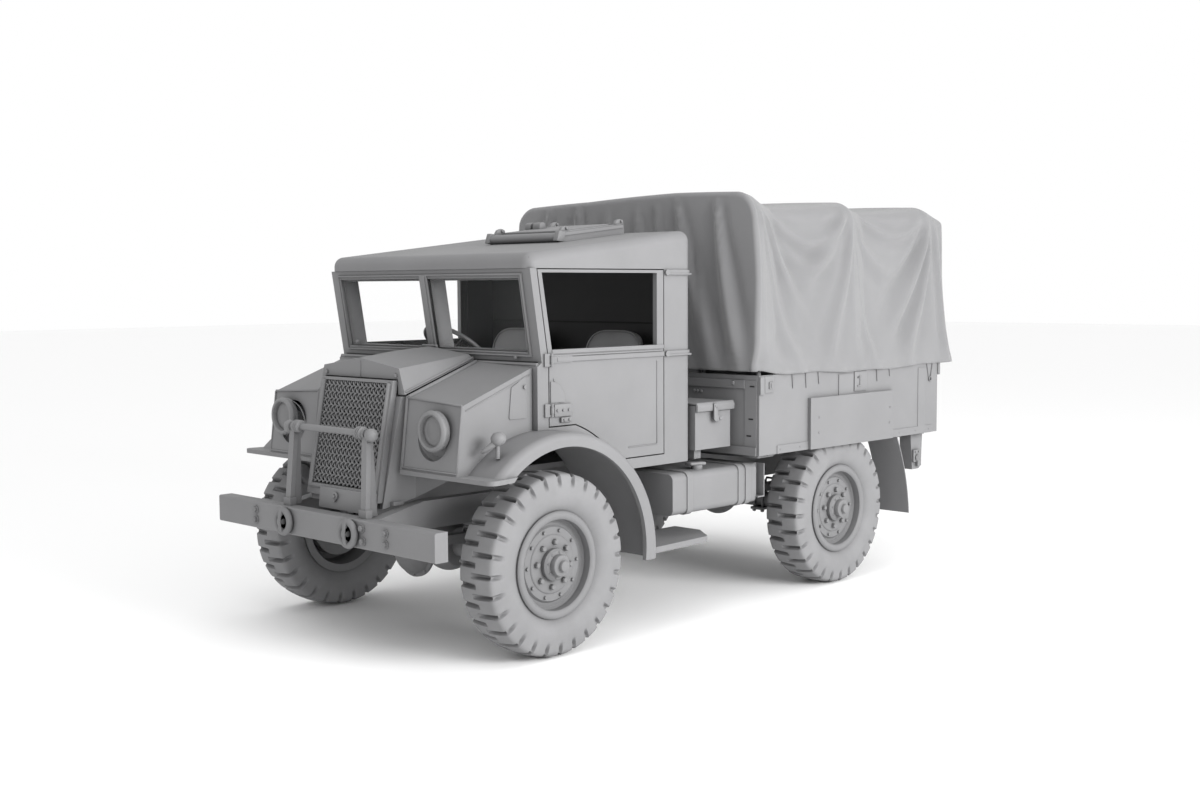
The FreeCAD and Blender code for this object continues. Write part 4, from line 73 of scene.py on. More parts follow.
softbox("side_light", (9.0, 0.5, 3.6), (0, 0.3, 1.1), (6, 3), 880)
softbox("top_light", (1.3, -2.8, 8.0), (0, -0.4, 1.2), (4, 4), 90)

CAMERA_PLACE = Vector((6.303, -6.613, 1.920))
CAMERA_YAW = 0.770562
CAMERA_PITCH = 0.0788546
CAMERA_ROLL = -0.0051263
ahead = Vector((-math.sin(CAMERA_YAW) * math.cos(CAMERA_PITCH), math.cos(CAMERA_YAW) * math.cos(CAMERA_PITCH),
                -math.sin(CAMERA_PITCH)))
level_right = ahead.cross(Vector((0, 0, 1))).normalized()
level_up = level_right.cross(ahead)
right = level_right * math.cos(CAMERA_ROLL) + level_up * math.sin(CAMERA_ROLL)
up = level_up * math.cos(CAMERA_ROLL) - level_right * math.sin(CAMERA_ROLL)
camera_data = bpy.data.cameras.new("camera")
camera_data.sensor_fit = "HORIZONTAL"
camera_data.sensor_width = 36
camera_data.lens = 43.02
camera = bpy.data.objects.new("camera", camera_data)
bpy.context.scene.collection.objects.link(camera)
turn = Matrix((right, up, -ahead)).transposed().to_4x4()
camera.matrix_world = Matrix.Translation(CAMERA_PLACE) @ turn
bpy.context.scene.camera = camera


# Steel chassis and running gear
# Rolled and forged steel sprayed in one coat of grey primer: matt, faintly grained, a little darker in its crevices
# as painted shade, and paler where corners have rubbed, which is partly painted highlight.
def made_node(tree, kind, inputs, **settings):
    """New node of a tree: an input takes a value, or a link where it is given another node's output."""
    node = tree.nodes.new(kind)
    for name, value in settings.items():
        setattr(node, name, value)
    for key, value in inputs.items():
        if isinstance(value, bpy.types.NodeSocket):
            tree.links.new(value, node.inputs[key])
        else:
            node.inputs[key].default_value = value
    return node


def toned(colour, share):
    return tuple(min(1, c * share) for c in colour)


def coat(name, colour, rough=0.62, grain=900.0, depth=0.0004, cloud=0.06, cloud_size=2.2, round_edge=0.003):
    """Matt sprayed finish: clouded colour, painted shade in the corners, fine grain, and softened edges made pale as
    wear and painted highlight.
    """
    material = bpy.data.materials.new(name)
    material.use_nodes = True
    tree = material.node_tree
    place = made_node(tree, "ShaderNodeTexCoord", {}).outputs["Object"]
    clouds = made_node(tree, "ShaderNodeTexNoise", {"Vector": place, "Scale": cloud_size, "Detail": 6,
                                                    "Roughness": 0.6})
    ramp = made_node(tree, "ShaderNodeValToRGB", {"Fac": clouds.outputs["Fac"]})
    for element, position, share in zip(ramp.color_ramp.elements, (0.3, 0.72), (1 - cloud, 1 + cloud)):
        element.position = position
        element.color = (*toned(colour, share), 1)
    # Painted shade: ambient occlusion draws the colour down towards 0.45 of itself in crevices and corners.
    crevice_shade = made_node(tree, "ShaderNodeAmbientOcclusion", {"Color": ramp.outputs["Color"], "Distance": 0.045},
                        samples=4)
    finish = made_node(tree, "ShaderNodeMix", {0: crevice_shade.outputs["AO"], 6: (*toned(colour, 0.45), 1),
                                               7: ramp.outputs["Color"]}, data_type="RGBA")
    specks = made_node(tree, "ShaderNodeTexNoise", {"Vector": place, "Scale": grain, "Detail": 2})
    bump = made_node(tree, "ShaderNodeBump", {"Height": specks.outputs["Fac"], "Distance": depth, "Strength": 0.5})
    # Wear and painted highlight: softened edges, where the bevelled normal leaves the face's, turn paler.
    if round_edge:
        corner = made_node(tree, "ShaderNodeBevel", {"Radius": round_edge}, samples=4).outputs["Normal"]
        face = made_node(tree, "ShaderNodeNewGeometry", {}).outputs["Normal"]
        tree.links.new(corner, bump.inputs["Normal"])
        agree = made_node(tree, "ShaderNodeVectorMath", {0: corner, 1: face}, operation="DOT_PRODUCT")
        edge_wear_and_highlight = made_node(tree, "ShaderNodeMapRange", {"Value": agree.outputs["Value"], "From Min": 0.995,
                                                      "From Max": 0.86, "To Min": 0.0, "To Max": 0.7})
        finish = made_node(tree, "ShaderNodeMix", {0: edge_wear_and_highlight.outputs["Result"], 6: finish.outputs[2],
                                                   7: (*toned(colour, 1.55), 1)}, data_type="RGBA")
    shader = tree.nodes["Principled BSDF"]
    shader.inputs["Roughness"].default_value = rough
    tree.links.new(finish.outputs[2], shader.inputs["Base Color"])
    tree.links.new(bump.outputs["Normal"], shader.inputs["Normal"])
    return material


def dress(material, *names):
    for name in names:
        nodes[name].data.materials.clear()
        nodes[name].data.materials.append(material)


PRIMER = (0.18, 0.18, 0.184)
chassis_primer = coat("chassis_primer", toned(PRIMER, 0.92), rough=0.68)
dress(chassis_primer, "frame_rails", "leaf_springs", "front_axle", "rear_axle", "knuckle_left", "knuckle_right",
      "tie_rod", "engine_block", "driveline", "exhaust", "tow_hooks", "tow_jaw", "tilt_hoops",
      "wheel_front_left", "wheel_front_right", "wheel_rear_left", "wheel_rear_right")


# Tyres
# Moulded rubber with bars that run from each shoulder to a plain strip round the middle of the tread, the bars of
# one half standing between those of the other. The flanks are smooth and bulge a little beyond the rim.
def finished(name, mesh, material=None, body="chassis"):
    """Object of a made mesh with its material, if one is given, riding on a body."""
    piece = bpy.data.objects.new(name, mesh)
    bpy.context.scene.collection.objects.link(piece)
    if material:
        mesh.materials.append(material)
    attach(piece, body)
    return piece


def ring_faces(rings, count, closed=False):
    """Faces between neighbouring rings of equally many points."""
    faces = []
    for i in range(rings if closed else rings - 1):
        j = (i + 1) % rings
        faces += [(i * count + k, i * count + (k + 1) % count, j * count + (k + 1) % count, j * count + k)
                  for k in range(count)]
    return faces


def smooth_mesh(name, points, faces, sharp=None):
    mesh = bpy.data.meshes.new(name)
    mesh.from_pydata(points, [], faces)
    mesh.validate()
    shaped = bmesh.new()
    shaped.from_mesh(mesh)
    bmesh.ops.remove_doubles(shaped, verts=shaped.verts, dist=1e-5)
    bmesh.ops.recalc_face_normals(shaped, faces=shaped.faces)
    shaped.to_mesh(mesh)
    shaped.free()
    mesh.shade_smooth()
    if sharp:
        mesh.set_sharp_from_angle(angle=math.radians(sharp))
    return mesh


tyre_rubber = coat("tyre_rubber", toned(PRIMER, 1.08), rough=0.72, grain=420, depth=0.0006, cloud=0.08,
                   cloud_size=5, round_edge=None)
FRONT_AXLE = -1.510
REAR_AXLE = 1.055
AXLE_HEIGHT = 0.485
CORNERS = (("front_left", 1, FRONT_AXLE), ("front_right", -1, FRONT_AXLE),
           ("rear_left", 1, REAR_AXLE), ("rear_right", -1, REAR_AXLE))
BARS = 28
FLANK = ((0.092, 0.2548), (0.094, 0.272), (0.0990, 0.288), (0.111, 0.303), (0.1225, 0.324), (0.1300, 0.345),
         (0.1330, 0.365), (0.1325, 0.385), (0.1310, 0.402))
SHOULDER = ((0.1296, 0.412), (0.1282, 0.423), (0.1262, 0.436), (0.1238, 0.449), (0.1205, 0.461), (0.1145, 0.4705),
            (0.1060, 0.4752))
TREAD = ((0.090, 0.4777), (0.068, 0.4802), (0.046, 0.4823), (0.026, 0.4838), (0.0165, 0.4845))
PLAIN_STRIP = 0.015
SHOULDER_EDGE = 0.100
GROOVE_SIDE = 0.108
GROOVE_FLOOR = 0.457
GROOVE_LINE = ((0, 1), (0.011, 1), (0.018, 0.8), (0.026, 0.3), (0.034, 0))


def wheel_plane(axle_y):
    return 0.930 if axle_y == FRONT_AXLE else 0.898


def bar_tyre(name, side, axle_y, body):
    centre_x = side * wheel_plane(axle_y)
    pitch = 2 * math.pi / BARS
    turns = sorted({round((s * a + k) % pitch, 6) for a, _ in GROOVE_LINE for s in (-1, 1) for k in (0, pitch / 2)})

    def groove(turn, phase):
        away = abs((turn - phase + pitch / 2) % pitch - pitch / 2)
        return float(numpy.interp(away, [a for a, _ in GROOVE_LINE], [d for _, d in GROOVE_LINE]))

    def place(point, depth_share):
        x, radius = point
        if radius <= FLANK[-1][1] or x < PLAIN_STRIP:
            return x, radius
        if x > SHOULDER_EDGE:
            share = min(1, (radius - FLANK[-1][1]) / 0.034) * depth_share
            return x - share * (x - GROOVE_SIDE), radius - share * 0.5 * max(0, radius - 0.447)
        floor = GROOVE_FLOOR - 0.015 * (x - 0.018) / 0.09
        return x, radius - depth_share * (radius - floor)

    rings = []
    profile = list(FLANK + SHOULDER + TREAD)
    for hand, line in ((1, profile), (-1, profile[::-1])):
        phase = 0 if hand > 0 else pitch / 2
        for point in line:
            ring = []
            for bar in range(BARS):
                for turn in turns:
                    x, radius = place(point, groove(turn, phase))
                    angle = bar * pitch + turn
                    ring.append((centre_x + side * hand * x, axle_y + radius * math.sin(angle),
                                 AXLE_HEIGHT + radius * math.cos(angle)))
            rings.append(ring)
    points = [p for ring in rings for p in ring]
    mesh = smooth_mesh(name, points, ring_faces(len(rings), len(rings[0]), closed=True), sharp=38)
    tyre = finished(name, mesh, tyre_rubber, body=body)
    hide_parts("tyre_" + body[6:])


for corner, side, axle_y in CORNERS:
    bar_tyre("bar_tyre_" + corner, side, axle_y, "wheel_" + corner)


# Wheel nuts and rim bolts
# Eight nuts hold each disc wheel to its hub and a ring of smaller bolts joins the two halves of the rim. All heads
# are forged hexagons with a chamfered top.
def open_tree(name, inputs):
    """Geometry tree with named inputs: gives the tree, what its inputs hold and their identifiers."""
    tree = bpy.data.node_groups.new(name, "GeometryNodeTree")
    sockets = {label: tree.interface.new_socket(label, in_out="INPUT", socket_type="NodeSocket" + kind).identifier
               for label, kind in inputs.items()}
    tree.interface.new_socket("Made", in_out="OUTPUT", socket_type="NodeSocketGeometry")
    return tree, tree.nodes.new("NodeGroupInput").outputs, sockets


def close_tree(tree, geometry, finish):
    real = made_node(tree, "GeometryNodeRealizeInstances", {"Geometry": geometry})
    paint = made_node(tree, "GeometryNodeSetMaterial", {"Geometry": real.outputs["Geometry"], "Material": finish})
    made_node(tree, "NodeGroupOutput", {"Made": paint.outputs["Geometry"]})


def marked(name, points, edges, label, vectors):
    """Mesh of bare points or strands, each point with its own vector."""
    mesh = bpy.data.meshes.new(name)
    mesh.from_pydata(points, edges, [])
    mark = mesh.attributes.new(label, "FLOAT_VECTOR", "POINT")
    for value, vector in zip(mark.data, vectors):
        value.vector = vector
    return mesh


def grown(name, mesh, tree, sockets, sizes):
    """Plain mesh that a geometry tree makes of marked points."""
    carrier = bpy.data.objects.new(mesh.name, mesh)
    bpy.context.scene.collection.objects.link(carrier)
    growing = carrier.modifiers.new("growing", "NODES")
    growing.node_group = tree
    for label, size in sizes.items():
        growing[sockets[label]] = size
    bpy.context.view_layer.update()
    made = bpy.data.meshes.new_from_object(carrier.evaluated_get(bpy.context.evaluated_depsgraph_get()))
    bpy.data.objects.remove(carrier)
    made.name = name
    return made


def maths(tree, operation, *values):
    return made_node(tree, "ShaderNodeMath", dict(enumerate(values)), operation=operation).outputs[0]


def fastener_tree():
    """Puts a chamfered head on every point of a mesh, standing along the point's own direction."""
    tree, given, sockets = open_tree("fastener_heads", {"Places": "Geometry", "Head radius": "Float",
                                                        "Head height": "Float", "Sides": "Int",
                                                        "Finish": "Material"})

    def share(label, factor):
        return maths(tree, "MULTIPLY", given[label], factor)

    head = tree.nodes.new("GeometryNodeJoinGeometry")
    for low, high, foot, rise in ((1.0, 1.0, 0.0, 0.72), (1.0, 0.78, 0.72, 0.28)):
        cone = made_node(tree, "GeometryNodeMeshCone", {
            "Vertices": given["Sides"], "Radius Bottom": share("Head radius", low),
            "Radius Top": share("Head radius", high), "Depth": share("Head height", rise)})
        lift = made_node(tree, "ShaderNodeCombineXYZ", {"Z": share("Head height", foot)})
        shift = made_node(tree, "GeometryNodeTransform", {"Geometry": cone.outputs["Mesh"],
                                                          "Translation": lift.outputs[0]})
        tree.links.new(shift.outputs["Geometry"], head.inputs["Geometry"])
    facing = made_node(tree, "GeometryNodeInputNamedAttribute", {"Name": "facing"}, data_type="FLOAT_VECTOR")
    align = made_node(tree, "FunctionNodeAlignRotationToVector", {"Vector": facing.outputs["Attribute"]}, axis="Z")
    stand = made_node(tree, "GeometryNodeInstanceOnPoints", {"Points": given["Places"],
                                                             "Instance": head.outputs["Geometry"],
                                                             "Rotation": align.outputs["Rotation"]})
    close_tree(tree, stand.outputs["Instances"], given["Finish"])
    return tree, sockets


heads_tree, heads_sockets = fastener_tree()


def circle(count, radius=1.0, start=0.0):
    """Evenly spaced points round a circle, each as its cosine and sine times the radius."""
    turns = [start + 2 * math.pi * k / count for k in range(count)]
    return [(radius * math.cos(turn), radius * math.sin(turn)) for turn in turns]


def fasteners(name, places, material, radius, height, sides=6, body="chassis"):
    """Heads at (place, direction) pairs, made into one plain mesh."""
    mesh = marked(name + "_places", [p for p, _ in places], [], "facing",
                  [Vector(direction).normalized() for _, direction in places])
    made = grown(name, mesh, heads_tree, heads_sockets, {"Head radius": radius, "Head height": height,
                                                         "Sides": sides, "Finish": material})
    if sides > 8:
        made.shade_smooth()
        made.set_sharp_from_angle(angle=math.radians(35))
    return finished(name, made, body=body)


for corner, side, axle_y in CORNERS:
    for kind, out, ring, count, start, radius, height in (("wheel_nuts_", 0.0695, 0.118, 8, 0.1, 0.0155, 0.022),
                                                          ("rim_bolts_", 0.0635, 0.178, 10, 0.3, 0.0095, 0.012),
                                                          ("hub_bolts_", 0.1055, 0.066, 8, 0.2, 0.0065, 0.006)):
        x = side * (wheel_plane(axle_y) + out)
        places = [((x, axle_y + along, AXLE_HEIGHT + up), (side, 0, 0)) for up, along in circle(count, ring, start)]
        fasteners(kind + corner, places, chassis_primer, radius, height, body="wheel_" + corner)


# Hub plates and caps
# A pressed plate stiffens the middle of each wheel disc under the nuts. The drive flange ends in a turned cap with
# a grease plug on its nose.
def turned(line, centre, axis, closed=False, count=48):
    """Points and faces of an outline of (along, radius) points turned about an axis through a centre."""
    axis = Vector(axis).normalized()
    across = axis.orthogonal().normalized()
    over = axis.cross(across)
    points = []
    for along, radius in line:
        middle = Vector(centre) + axis * along
        points += [tuple(middle + (across * a + over * b) * radius) for a, b in circle(count)]
    return points, ring_faces(len(line), count, closed)


def joined(forms):
    """One list of points and faces from several."""
    points, faces = [], []
    for more_points, more_faces in forms:
        start = len(points)
        points += list(more_points)
        faces += [tuple(k + start for k in face) for face in more_faces]
    return points, faces


def rounded(name, forms, material, sharp=None, body="chassis"):
    """One smooth piece of rods and turned forms."""
    return finished(name, smooth_mesh(name, *joined(forms), sharp), material, body)


PLATE_LINE = ((0.062, 0.080), (0.0700, 0.082), (0.0705, 0.088), (0.0705, 0.146), (0.0690, 0.151), (0.0660, 0.155),
              (0.062, 0.158))
CAP_LINE = ((0.104, 0.0000), (0.104, 0.0570), (0.1070, 0.0580), (0.1360, 0.0572), (0.1415, 0.0550),
            (0.1445, 0.0500), (0.1455, 0.0320), (0.1475, 0.0300), (0.1620, 0.0292), (0.1662, 0.0265),
            (0.1680, 0.0210), (0.1685, 0.0000))
for corner, side, axle_y in CORNERS:
    for kind, line in (("hub_plate_", PLATE_LINE), ("hub_cap_", CAP_LINE)):
        hub = (side * wheel_plane(axle_y), axle_y, AXLE_HEIGHT)
        form = turned(line, hub, (side, 0, 0), closed=line is PLATE_LINE, count=64)
        rounded(kind + corner, [form], chassis_primer, 30, body="wheel_" + corner)


# Spring clamps and differential covers
# Each leaf spring is held to its axle by two U bolts over a forged pad, nutted under a plate. The front differential
# has a round cast cover with a ring of bolts.
def bent_rod(path, radius, count=12, closed=False):
    """Points and faces of a round rod along a path; radius is one number, or one for each point of the path."""
    path = [Vector(p) for p in path]
    last = len(path) - 1
    radii = list(radius) if isinstance(radius, (list, tuple)) else [radius] * len(path)
    rings = []
    across = None
    for i, point in enumerate(path):
        before = path[i - 1] if closed or i else path[0]
        after = path[(i + 1) % len(path)] if closed or i < last else path[last]
        heading = (after - before).normalized()
        across = heading.orthogonal() if across is None else across - heading * across.dot(heading)
        across.normalize()
        over = heading.cross(across)
        turns = [(radii[i], 0.0)]
        if not closed and i == 0:
            turns = [(0.7 * radii[i], 0.0), (radii[i], 0.3 * radii[i])]
        elif not closed and i == last:
            turns = [(radii[i], -0.3 * radii[i]), (0.7 * radii[i], 0.0)]
        for size, shift in turns:
            rings.append([tuple(point + heading * shift + (across * a + over * b) * size) for a, b in circle(count)])
    faces = ring_faces(len(rings), count, closed)
    if not closed:
        faces += [tuple(range(count))[::-1], tuple((len(rings) - 1) * count + k for k in range(count))]
    return [p for ring in rings for p in ring], faces


def pressed(name, forms, bevel):
    """One mesh of flat or cast pieces with softened edges: each an outline in space and its thickness as a vector."""
    shaped = bmesh.new()
    for outline, rise in forms:
        low = [shaped.verts.new(p) for p in outline]
        high = [shaped.verts.new(tuple(Vector(p) + Vector(rise))) for p in outline]
        shaped.faces.new(low[::-1])
        shaped.faces.new(high)
        for k in range(len(outline)):
            after = (k + 1) % len(outline)
            shaped.faces.new((low[k], low[after], high[after], high[k]))
    bmesh.ops.recalc_face_normals(shaped, faces=shaped.faces)
    bmesh.ops.bevel(shaped, geom=list(shaped.edges), offset=bevel, segments=2, profile=0.5, affect="EDGES",
                    clamp_overlap=True)
    mesh = bpy.data.meshes.new(name)
    shaped.to_mesh(mesh)
    shaped.free()
    mesh.shade_smooth()
    mesh.set_sharp_from_angle(angle=math.radians(40))
    return mesh


def plated(name, forms, material, bevel=0.002, body="chassis"):
    """One piece of flat or cast forms."""
    return finished(name, pressed(name, forms, bevel), material, body)


def slab(x0, x1, y0, y1, z0, z1):
    """Outline and rise of an upright-sided slab between two corners."""
    return [(x0, y0, z0), (x1, y0, z0), (x1, y1, z0), (x0, y1, z0)], (0, 0, z1 - z0)


def cut(x, width, line):
    """Upright plate of a (y, z) outline, from one width over another."""
    return [(x, y, z) for y, z in line], (width, 0, 0)


def flipped(forms):
    """The same pressed forms on the truck's other side."""
    return [([(-x, y, z) for x, y, z in outline], (-rise[0], rise[1], rise[2])) for outline, rise in forms]


def both(forms):
    return forms + flipped(forms)


def handed(forms, side):
    """The forms as given for the left side, or flipped for the right."""
    return forms if side > 0 else flipped(forms)


def side_rods(*rods, count=10):
    """Rods on both sides from pairs of a path on the left and its radius."""
    return [bent_rod([(side * x, y, z) for x, y, z in path], radius, count) for side in (1, -1)
            for path, radius in rods]


def side_places(x, spots):
    """Places on both flanks, facing outwards."""
    return [((side * x, y, z), (side, 0, 0)) for side in (1, -1) for y, z in spots]


SPRING_X = 0.400
clamp_rods, clamp_plates, clamp_nuts = [], [], []
for axle_y in (FRONT_AXLE, REAR_AXLE):
    for middle in (SPRING_X, -SPRING_X):
        for y in (axle_y - 0.062, axle_y + 0.062):
            path = [(middle + out, y, z) for out, z in ((-0.034, 0.405), (-0.034, 0.605), (-0.0238, 0.622),
                                                        (0.0238, 0.622), (0.034, 0.605), (0.034, 0.405))]
            clamp_rods.append(bent_rod(path, 0.008, 10))
            clamp_nuts += [((middle + out, y, 0.421), (0, 0, -1)) for out in (-0.034, 0.034)]
        clamp_plates.append(slab(middle - 0.05, middle + 0.05, axle_y - 0.085, axle_y + 0.085, 0.421, 0.439))
rounded("spring_bolts", clamp_rods, chassis_primer, 40)
plated("spring_plates", clamp_plates, chassis_primer, 0.004)
fasteners("spring_nuts", clamp_nuts, chassis_primer, 0.014, 0.014)

COVER_LINE = ((0.00, 0.150), (0.02, 0.176), (0.034, 0.176), (0.040, 0.158), (0.075, 0.142), (0.105, 0.105),
              (0.122, 0.055), (0.126, 0.0))
cover = turned(COVER_LINE, (-0.03, FRONT_AXLE - 0.06, 0.468), (0, -1, 0))
rounded("differential_cover", [cover], chassis_primer, 35)
cover_bolts = [((-0.03 + x, FRONT_AXLE - 0.094, 0.468 + z), (0, -1, 0)) for z, x in circle(10, 0.164)]
fasteners("cover_bolts", cover_bolts, chassis_primer, 0.011, 0.010)

# Painted bodywork
# Sheet steel panels of the nose, cab and load bed in the same grey primer, a shade paler than the chassis.
body_primer = coat("body_primer", PRIMER)
dress(body_primer, "front_bumper", "brush_guard", "nose_shell", "grille", "wing_left", "wing_right", "hatch_lid",
      "bonnet", "fuel_tanks", "lockers", "locker_lid_left", "locker_lid_right", "cargo_sides", "headboard",
      "tailgate", "rear_guards", "lamps")

# Bumper bolts and towing hooks
# The channel bumper is bolted to the frame horns with pairs of hexagon bolts on washers. Each forged towing eye is a
# thick ring on an upright lug.
BUMPER_FACE = -2.269
bumper_places = [((x, BUMPER_FACE, z), (0, -1, 0)) for x in (-0.587, 0.587) for z in (0.638, 0.694)]
bumper_places += [((0.392, BUMPER_FACE, 0.698), (0, -1, 0)), ((0.399, BUMPER_FACE, 0.632), (0, -1, 0))]
fasteners("bumper_washers", bumper_places, chassis_primer, 0.0235, 0.005, sides=20)
fasteners("bumper_bolts", [((x, y - 0.003, z), d) for (x, y, z), d in bumper_places], chassis_primer, 0.0165, 0.016)
eye_rings = [bent_rod([(side * 0.293 + x, -2.288, 0.662 + z) for z, x in circle(40, 0.060)], 0.0185, 14, closed=True)
             for side in (1, -1)]
eye_lugs = [cut(side * 0.293 - 0.013, 0.026, ((-2.268, 0.592), (-2.302, 0.596), (-2.316, 0.622), (-2.318, 0.700),
                                              (-2.304, 0.735), (-2.268, 0.742))) for side in (1, -1)]
rounded("towing_eyes", eye_rings, chassis_primer)
plated("towing_lugs", eye_lugs, chassis_primer, 0.006)

# Brush guard webs and collars
# Each post of the guard is stiffened behind by a tapered web. The cross bar screws into ribbed collars and ends in
# a cast knob.
COLLAR_LINE = ((0.252, 0.0175), (0.255, 0.030), (0.262, 0.035), (0.270, 0.034), (0.273, 0.028), (0.277, 0.034),
               (0.285, 0.035), (0.289, 0.028), (0.293, 0.034), (0.302, 0.035), (0.307, 0.028), (0.312, 0.0175))
KNOB_LINE = ((0.340, 0.017), (0.344, 0.028), (0.354, 0.034), (0.368, 0.036), (0.381, 0.033), (0.391, 0.024),
             (0.397, 0.012), (0.398, 0.0))
guard_webs = [([(side * x - 0.015, y, z) for x, y, z in ((0.342, -2.214, 0.742), (0.342, -2.142, 0.742),
                                                          (0.327, -2.150, 1.145), (0.327, -2.186, 1.165))],
               (0.030, 0, 0)) for side in (1, -1)]
guard_forms = [turned(line, (0, -2.182, z), (side, 0, 0), count=28) for side in (1, -1)
               for line, z in ((COLLAR_LINE, 1.172), (KNOB_LINE, 1.166))]
plated("guard_webs", guard_webs, body_primer, 0.005)
rounded("guard_collars", guard_forms, body_primer, 35)

# Grille mesh and apron
# The radiator is guarded by thick crimped wires woven in diamonds, set in a beaded frame. A pressed apron with a
# starting handle boss closes the gap above the bumper.
MESH_DIAMOND = 0.037
MESH_HALF_WIDTH = 0.274
MESH_LOW, MESH_HIGH = 0.866, 1.418
NOSE_LEAN = -(2.000 - 2.116) / 0.635


def nose_plane(z):
    return -2.116 + NOSE_LEAN * (z - 0.800)


def woven_tree():
    """Lifts strands of wire along their facing by their own share of the crimp, and gives them a round section."""
    tree, given, sockets = open_tree("woven_wire", {"Strands": "Geometry", "Crimp depth": "Float",
                                                    "Wire radius": "Float", "Finish": "Material"})
    lift = made_node(tree, "GeometryNodeInputNamedAttribute", {"Name": "lift"}, data_type="FLOAT_VECTOR")
    scaled = made_node(tree, "ShaderNodeVectorMath", {0: lift.outputs["Attribute"], "Scale": given["Crimp depth"]},
                       operation="SCALE")
    moved = made_node(tree, "GeometryNodeSetPosition", {"Geometry": given["Strands"], "Offset": scaled.outputs[0]})
    strand = made_node(tree, "GeometryNodeMeshToCurve", {"Mesh": moved.outputs["Geometry"]})
    section = made_node(tree, "GeometryNodeCurvePrimitiveCircle", {"Resolution": 6, "Radius": given["Wire radius"]})
    wire = made_node(tree, "GeometryNodeCurveToMesh", {"Curve": strand.outputs["Curve"], "Fill Caps": True,
                                                       "Profile Curve": section.outputs["Curve"]})
    close_tree(tree, wire.outputs["Mesh"], given["Finish"])
    return tree, sockets


strand_points, strand_edges, strand_lifts = [], [], []
mesh_normal = Vector((0, -1, NOSE_LEAN)).normalized()
step = MESH_DIAMOND / 8
for hand in (1, -1):
    reach = MESH_HALF_WIDTH + (MESH_HIGH - MESH_LOW)
    for k in range(-int(reach / MESH_DIAMOND) - 1, int(reach / MESH_DIAMOND) + 2):
        run = []
        for i in range(int((MESH_HIGH - MESH_LOW) / step) + 1):
            rise = i * step
            x = hand * (k * MESH_DIAMOND + rise)
            if abs(x) > MESH_HALF_WIDTH:
                continue
            z = MESH_LOW + rise
            weave = hand * math.cos(math.pi * rise / (MESH_DIAMOND / 2))
            run.append(((x, nose_plane(z) + 0.0075, z), tuple(mesh_normal * weave)))
        if len(run) > 3:
            start = len(strand_points)
            strand_points += [p for p, _ in run]
            strand_lifts += [v for _, v in run]
            strand_edges += [(start + i, start + i + 1) for i in range(len(run) - 1)]
strands = marked("grille_strands", strand_points, strand_edges, "lift", strand_lifts)
wire_mesh = grown("grille_wire", strands, *woven_tree(), {"Crimp depth": 0.0050, "Wire radius": 0.0058,
                                                          "Finish": body_primer})
wire_mesh.shade_smooth()
finished("grille_wire", wire_mesh)

plated("nose_apron", [cut(-0.158, 0.470, ((-2.152, 0.740), (-2.112, 0.740), (-2.106, 0.852), (-2.140, 0.852)))],
       body_primer, 0.004)
fasteners("handle_boss", [((-0.003, -2.146, 0.812), (0, -1, 0))], body_primer, 0.021, 0.012, sides=20)
fasteners("handle_nut", [((-0.003, -2.156, 0.812), (0, -1, 0)), ((-0.008, -2.147, 0.790), (0, -1, 0))], body_primer,
          0.011, 0.012)

# Bonnet crease and catches
# The front facet has a raised crease down its middle, and a sprung catch at each lower corner.
crease = bent_rod([(0, -1.9725, 1.438), (0, -1.9725, 1.530)], 0.0035, 10)
rounded("bonnet_crease", [crease], body_primer, body="bonnet")
side_beads = side_rods(([(0.3735, -1.966, 1.376), (0.3735, -1.494, 1.539)], 0.0075))
rounded("bonnet_side_beads", side_beads, body_primer, body="bonnet")
catches = [([(x - 0.009, -1.970, 1.450), (x + 0.009, -1.970, 1.450), (x + 0.011, -1.970, 1.466),
             (x - 0.006, -1.970, 1.474)], (0, -0.011, 0)) for x in (-0.308, 0.308)]
plated("bonnet_catches", catches, body_primer, body="bonnet")

# Lamp box edges
# The edges of each lamp box are rolled over a wire, and a pressed crease runs under its outer top edge.
edge_rods = side_rods(([(0.401, -1.962, 1.351), (0.401, -1.492, 1.518)], 0.0125),
                      ([(0.398, -1.964, 1.350), (0.829, -1.964, 1.328)], 0.0070),
                      ([(0.398, -1.966, 1.346), (0.398, -2.008, 0.990)], 0.0085),
                      ([(0.398, -2.008, 0.988), (0.829, -2.008, 0.988)], 0.0060),
                      ([(0.829, -1.966, 1.326), (0.829, -2.006, 0.992)], 0.0055),
                      ([(0.8325, -1.945, 1.302), (0.8325, -1.500, 1.466)], 0.0035))
rounded("lamp_box_edges", edge_rods, body_primer)

# Headlamps
# Each headlamp sits in a shallow dished pocket of the lamp box, with a thick rolled rim and a domed lens painted over
# like the rest.
lens_primer = coat("lens_primer", toned(PRIMER, 0.80), rough=0.34, grain=400, depth=0.0001, cloud=0.03,
                   round_edge=None)
RIM_LINE = ((-0.004, 0.1035), (0.008, 0.1075), (0.020, 0.1030), (0.0255, 0.0940), (0.0235, 0.0850), (0.012, 0.0790),
            (0.002, 0.0765), (-0.004, 0.0765))
LENS_LINE = ((0.0015, 0.0770), (0.0030, 0.0680), (0.0036, 0.0600), (0.0030, 0.0590), (0.0060, 0.0400),
             (0.0075, 0.0200), (0.0080, 0.0))
POCKET_LINE = ((0.002, 0.1275), (0.004, 0.1245), (-0.002, 0.1215), (-0.020, 0.1080), (-0.026, 0.0700))
for name, line, (x, y, z), lean, material in (
        ("headlamp_rims", RIM_LINE, (0.667, -2.018, 1.194), 0, body_primer),
        ("headlamp_lenses", LENS_LINE, (0.667, -2.018, 1.194), 0, lens_primer),
        ("headlamp_pockets", POCKET_LINE, (0.628, -1.9855, 1.160), -0.131, body_primer)):
    forms = [turned(line, (side * x, y, z), (0, -1, lean), closed=line is RIM_LINE, count=56) for side in (1, -1)]
    rounded(name, forms, material, 40)

